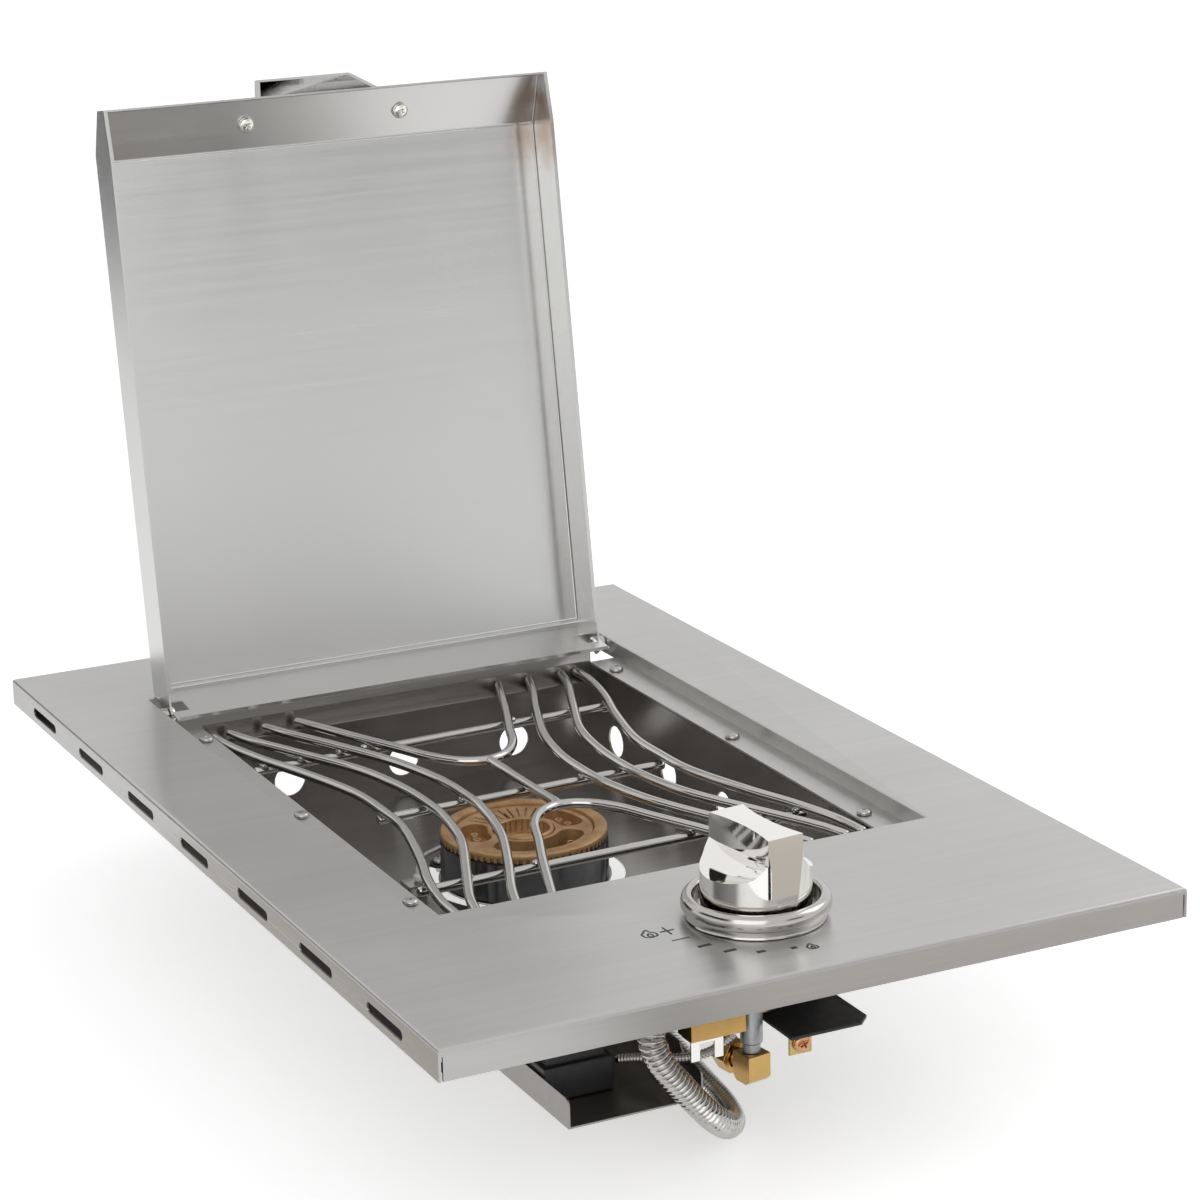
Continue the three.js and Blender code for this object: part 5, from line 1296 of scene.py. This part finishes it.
def buildElectrode(setup):
    x, y, foot, radius, height = (setup[key] for key in ("x", "y", "foot", "radius", "height"))
    body = addRound("electrodeCeramic", [
        (1.5, foot), (radius * 0.7, foot), (radius * 0.7, foot + height * 0.38),
        (radius * 0.82, foot + height * 0.43), (radius, foot + height * 0.46),
        (radius, foot + height * 0.59), (radius * 0.82, foot + height * 0.63),
        (radius * 0.7, foot + height * 0.67), (radius * 0.62, foot + height * 0.95),
        (radius * 0.52, foot + height), (1.5, foot + height), (1.5, foot),
    ], 48, True)
    softenEdges(body, 0.2, 2, 40)
    shadeSmooth(body, 50)
    moved(body, at(x, y, 0))
    dress(body, "whiteCeramic", "root", "white_ceramic", "electrode_insulator")
    lean = setup["tip"][2] - 7
    route = [
        (x, y, foot), (x, y, (foot + lean) / 2), (x, y, lean), (x + 2, y, setup["tip"][2] - 3),
        (setup["tip"][0] - 3, y, setup["tip"][2] - 1),
        setup["tip"],
    ]
    wire = addTube("electrodeWire", curvePoints(route, 8), setup["wire"])
    softenEdges(wire, 0.25, 2, 50)
    shadeSmooth(wire, 40)
    dress(wire, "greyCasting", "root", "grey_metal", "electrode_rod")
    bracket = refined("electrode_bracket", "electrodeAngle", 0.2)
    dress(bracket, "rodSteel", "root", "bright_steel", "electrode_bracket")


buildElectrode(electrodeForm)
print("electrode")


# Control knob and its bezel
knobForm = {
    "y": -214.3,
    "turn": 0.1,
    "radius": 24.45,
    "foot": 18.5,
    "top": 56.3,
    "waist": 6.25,
    "facetHalf": 9.75,
    "lean": 0.05,
    "scoopRim": 35.6,
    "scoopFoot": 41.8,
    "scoopRise": 4.1,
    "scoopFloor": ((0.41, 0.82), (0.49, 0.56), (0.61, 0.14), (0.82, 0.02), (1.2, 0)),
    "stations": 28,
    "edgeWidth": 0.45,
    "bezel": (
        (24.75, 14.3), (30.8, 14.3), (30.5, 14.8), (30.35, 16.2), (30.6, 17.3), (31.7, 18.0), (32.5, 18.5),
        (32.9, 19.4), (33.0, 20.6), (32.9, 22.0), (32.5, 23.2), (31.8, 24.2), (30.8, 24.8), (29.8, 25.0),
        (29.0, 24.95), (28.3, 24.6), (27.9, 24.0), (27.75, 23.2), (27.75, 16.8), (27.2, 16.1),
        (24.75, 15.8), (24.75, 14.3),
    ),
    "stem": ((3.0, -3.3), (3.0, 6.0), (4.2, 6.0), (4.2, 7.5), (3.0, 7.5), (3.0, 26.4), (2.3, 27.2)),
    "sleeve": ((3.3, -4.3), (5.5, -4.3), (5.5, 5.3), (5.1, 5.7), (3.3, 5.7), (3.3, -4.3)),
}


def scoopSection(setup, side, share):
    # flank, shoulder and rim of one scoop, at a share of the way from the knob's middle to its end
    radius, foot, rim = setup["radius"], setup["scoopFoot"], setup["scoopRim"]
    flank = setup["waist"] + (setup["facetHalf"] - setup["waist"]) * share ** 2
    lift = setup["scoopRise"] * share ** 2
    y = share * (radius + 1)
    high = setup["top"] + 1
    floor = [(flank, y, foot + lift)]
    for across, rise in setup["scoopFloor"]:
        floor.append((across * radius, y, rim + rise * (foot - rim) + lift))
    outer = floor[-1][0]
    points = [*curvePoints(floor, 5), Vector((outer, y, high)), Vector((flank, y, high))]
    return [(side * point.x, point.y, point.z) for point in points]


def buildKnob(setup):
    radius, foot, top = setup["radius"], setup["foot"], setup["top"]
    body = addRound("controlKnobGrip", [
        (radius - 2.2, foot + 9), (radius - 2.2, foot), (radius, foot), (radius, top), (2, top),
    ], 144)
    for side in (-1, 1):
        count = setup["stations"]
        shares = [2 * i / count - 1 for i in range(count + 1)]
        boolean(body, addLoft("knobScoop", [scoopSection(setup, side, share) for share in shares]))
    # the facets at the front and the rear are sliced off leaning inwards
    facetY = math.sqrt(radius ** 2 - setup["facetHalf"] ** 2)
    workOn(body)
    bpy.ops.object.mode_set(mode="EDIT")
    for side in (-1, 1):
        bpy.ops.mesh.select_all(action="SELECT")
        bpy.ops.mesh.bisect(
            plane_co=(0, side * facetY * mm, top * mm),
            plane_no=(0, side, setup["lean"]),
            use_fill=True,
            clear_outer=True,
        )
    leaveEdit()
    softenEdges(body, setup["edgeWidth"], 3, 14)
    weighNormals(body)
    moved(body, at(0, setup["y"], 0) @ turnedBy(setup["turn"], "Z"))
    dress(body, "brightChrome", "knob", "bright_chrome", "control_knob")


def buildBezel(setup):
    # the bezel, and below it the valve's stem and its sleeve
    spot = at(0, setup["y"], 0)
    look = ("satinChrome", "root", "satin_chrome")
    turnedPiece("knobBezelRing", setup["bezel"], spot, look, "knob_bezel", 128, True, 34)
    look = ("rodSteel", "knob", "bright_steel")
    turnedPiece("valveStemRod", setup["stem"], spot, look, "valve_stem")
    look = ("turnedBrass", "plunger", "fitting_brass")
    turnedPiece("valvePlungerSleeve", setup["sleeve"], spot, look, "valve_plunger", hollow=True)


buildKnob(knobForm)
buildBezel(knobForm)
print("knob and bezel")


# Printed marks round the knob: two flames, a plus and bars that get shorter
markForm = {
    "z": 14.02,
    "flatness": 0.05,
    "flame": (
        (0, -3.2), (2.0, -2.4), (2.3, -0.4), (1.1, 1.2), (0.4, 3.2), (-1.2, 1.5), (-2.3, 0.2),
        (-2.0, -2.3), (0, -3.2),
    ),
    "inner": ((0, -2.9), (0.8, -1.6), (0.1, 0.2), (-0.8, -1.4), (0, -2.9)),
    "flames": ((-51.1, -211.4, 1.35), (2.7, -257.7, 0.95)),
    "bars": (
        ((-45.9, -212.1), (-39.2, -211.9), 1.3), ((-42.5, -216.6), (-42.6, -207.6), 1.0),
        ((-46.0, -223.3), (-37.4, -223.1), 1.0), ((-39.6, -234.8), (-33.2, -234.6), 2.4),
        ((-32.7, -245.0), (-26.7, -244.8), 2.4), ((-20.8, -252.4), (-16.8, -252.3), 2.4),
        ((-6.2, -255.6), (-3.2, -255.5), 2.4),
    ),
}


def buildMarks(setup):
    lines = [([Vector((*start, 0)), Vector((*end, 0))], width) for start, end, width in setup["bars"]]
    for x, y, size in setup["flames"]:
        for outline in (setup["flame"], setup["inner"]):
            route = [(x + across * size, y + along * size, 0) for across, along in outline]
            lines.append((curvePoints(route, 4), 1.0))
    parts = []
    for line, width in lines:
        stroke = addTube("markLine", line, width, sides=2)
        parts.append(moved(stroke, at(0, 0, setup["z"]) @ Matrix.Diagonal((1, 1, setup["flatness"], 1))))
    marks = joinPieces("printedMarks", parts)
    dress(marks, "blackInk", "root", "black_enamel")


buildMarks(markForm)
print("printed marks")


# Valve, its bracket and the gas fittings below it
fittingList = (
    ("valve_body", "valveBodyCasting", "dullBrass", "fitting_brass", 0.35),
    ("valve_bracket", "valveHanger", "blackCoat", "black_enamel", 0.3),
    ("valve_clamp", "zincClamp", "yellowZinc", "yellow_zinc", 0.25),
    ("manifold_block", "manifoldBrass", "turnedBrass", "fitting_brass", 0.35),
    ("inlet_elbow", "inletElbowBrass", "turnedBrass", "fitting_brass", 0.35),
    ("inlet_nut", "inletNutBrass", "turnedBrass", "fitting_brass", 0.35),
    ("fork_clip", "forkClipChrome", "brightChrome", "bright_chrome", 0.2),
    ("hose_nut_front", "hoseNutFront", "turnedBrass", "fitting_brass", 0.35),
    ("hose_nut_rear", "hoseNutRear", "turnedBrass", "fitting_brass", 0.35),
    ("gas_injector", "gasInjectorPlug", "turnedBrass", "fitting_brass", 0.3),
    ("heat_shield_channel", "heatShieldSheet", "bowlSteel", "bowl_steel", 0.2),
    ("igniter_module", "igniterBox", "blackPlastic", "black_plastic", 0.8),
    ("mixing_tube", "mixingTubeCasting", "greyCasting", "grey_metal", 0.2),
    ("hinge_nut_left", "hingeNutLeft", "brightChrome", "bright_steel", 0.2),
    ("hinge_nut_right", "hingeNutRight", "brightChrome", "bright_steel", 0.2),
)
for node, name, finish, slot, edge in fittingList:
    piece = refined(node, name, edge, 3)
    dress(piece, finish, "root", slot, node)

inletPipe = {
    "profile": ((4.0, -49.2), (4.0, -45.3), (4.6, -44.9), (5.0, -44.4), (5.0, -28.8), (4.7, -28.3)),
    "place": (-3, -214.3, 0),
    "look": ("greyCasting", "root", "grey_metal"),
}
turnedPiece("inletPipeGrey", inletPipe["profile"], at(*inletPipe["place"]), inletPipe["look"], "inlet_pipe")

copperHead = {
    "headDiameter": 8.7,
    "headHeight": 2.64,
    "shankDiameter": 4,
    "grip": 8,
    "crossWidth": 1.1,
    "crossLength": 4.9,
    "crossDepth": 1.7,
    "place": (10.8, -234.3, -40.8),
    "turn": 0.5,
}
screw = buildScrew(copperHead, "clampScrewCopper")
moved(screw, at(*copperHead["place"]) @ turnedBy(quarterTurn, "X") @ turnedBy(copperHead["turn"], "Z"))
dress(screw, "copperPlate", "root", "copper_plate", "clamp_screw")
print("gas fittings")


# Lid hinge bolts with spacers, and the handle's screws inside the lid
handleHead = {
    "headDiameter": 8.51,
    "headHeight": 2.86,
    "shankDiameter": 4,
    "grip": 4.5,
    "crossWidth": 1.05,
    "crossLength": 4.8,
    "crossDepth": 1.8,
}


hingeForm = {
    "bolt": (
        (1.6, 133.5), (1.6, 123.0), (3.8, 123.0), (3.8, 121.9), (3.55, 121.3), (2.9, 120.85),
        (1.8, 120.8),
    ),
    "spacer": (
        (1.9, 124.6), (3.6, 124.6), (3.8, 124.8), (3.8, 127.9), (3.6, 128.1), (1.9, 128.1),
        (1.9, 124.6),
    ),
    # the lid's front slope in the closed lid's frame: its fall, its run and its middle
    "slope": (12, 25.8),
    "slopePlace": (0, -298.7, 15.42),
    "screwX": 43.5,
    "screwSeat": -1.3,
    "screwTurn": 0.4,
}


def buildHinges(setup):
    for side, word in ((-1, "Left"), (1, "Right")):
        toHinge = at(*lidHinge) @ turnedBy(0 if side > 0 else math.pi, "Z") @ turnedBy(quarterTurn, "Y")
        look = ("brightChrome", "root", "bright_chrome")
        turnedPiece("hingeBolt" + word, setup["bolt"], toHinge, look, "hinge_bolt_" + word.lower(), 40)
        look = ("rodSteel", "root", "bright_steel")
        node = "hinge_spacer_" + word.lower()
        turnedPiece("hingeSpacer" + word, setup["spacer"], toHinge, look, node, 40, True)
        screw = buildScrew(handleHead, "handleScrew" + word)
        toSlope = lidFrame @ at(*setup["slopePlace"]) @ turnedBy(math.atan2(*setup["slope"]), "X")
        seat = toSlope @ at(side * setup["screwX"], 0, setup["screwSeat"]) @ turnedBy(math.pi, "X")
        moved(screw, seat @ turnedBy(setup["screwTurn"] + side, "Z"))
        dress(screw, "brightChrome", "lid", "bright_chrome", "handle_screw_" + word.lower())


buildHinges(hingeForm)
print("hinges")


# Ribbed hose from the valve to the mixing tube, and the spiral sleeve of the igniter's lead
hoseForm = {
    "route": [
        (-44.5, -226, -13), (-50, -226, -13.2), (-56.5, -227, -17.5), (-59.3, -228.5, -27.5),
        (-54.6, -229.5, -39.5), (-45.4, -229.5, -51.5), (-37.2, -229, -61.5), (-29, -227, -70.5),
        (-19, -220, -79), (-9, -206, -84), (-2, -184, -86), (1, -156, -85), (1.5, -126, -80),
        (0.8, -98, -71.5), (0, -80, -66.6), (0, -72, -66), (0, -61.5, -66),
    ],
    "diameter": 12.5,
    "valley": 0.79,
    "pitch": 2.6,
    "plain": 9.0,
}
sleeveForm = {
    "route": [
        (-11.2, -214.3, -39.4), (-15, -213.5, -41.8), (-21, -210.5, -47), (-29, -205, -50.4),
        (-38, -196, -52.5), (-46, -187, -54), (-52, -180, -56),
    ],
    "diameter": 4.6,
    "valley": 0.78,
    "pitch": 1.5,
    "plain": 1.0,
}


def addRibbedTube(name, setup, sides):
    line = curvePoints(setup["route"], 24)
    rough, length = evenPoints(line, 2)
    ribs = round((length - 2 * setup["plain"]) / setup["pitch"])
    pitch = (length - 2 * setup["plain"]) / ribs
    steps = round(length / (pitch / 8)) + 1
    spaced, length = evenPoints(line, steps)
    radii = []
    for i in range(steps):
        along = length * i / (steps - 1) - setup["plain"]
        if along < 0 or along > ribs * pitch:
            radii.append(setup["valley"] + 0.04)
        else:
            crest = 0.5 - 0.5 * math.cos(2 * math.pi * along / pitch)
            radii.append(setup["valley"] + (1 - setup["valley"]) * crest ** 0.7)
    tube = addTube(name, spaced, setup["diameter"], radii, sides)
    shadeSmooth(tube, 60)
    return tube


hose = addRibbedTube("flexHoseRibbed", hoseForm, 8)
dress(hose, "hoseSteel", "root", "hose_steel", "flex_hose")
sleeve = addRibbedTube("leadSleeveRibbed", sleeveForm, 4)
dress(sleeve, "rodSteel", "root", "bright_steel", "igniter_lead_sleeve")
print("hose and sleeve")
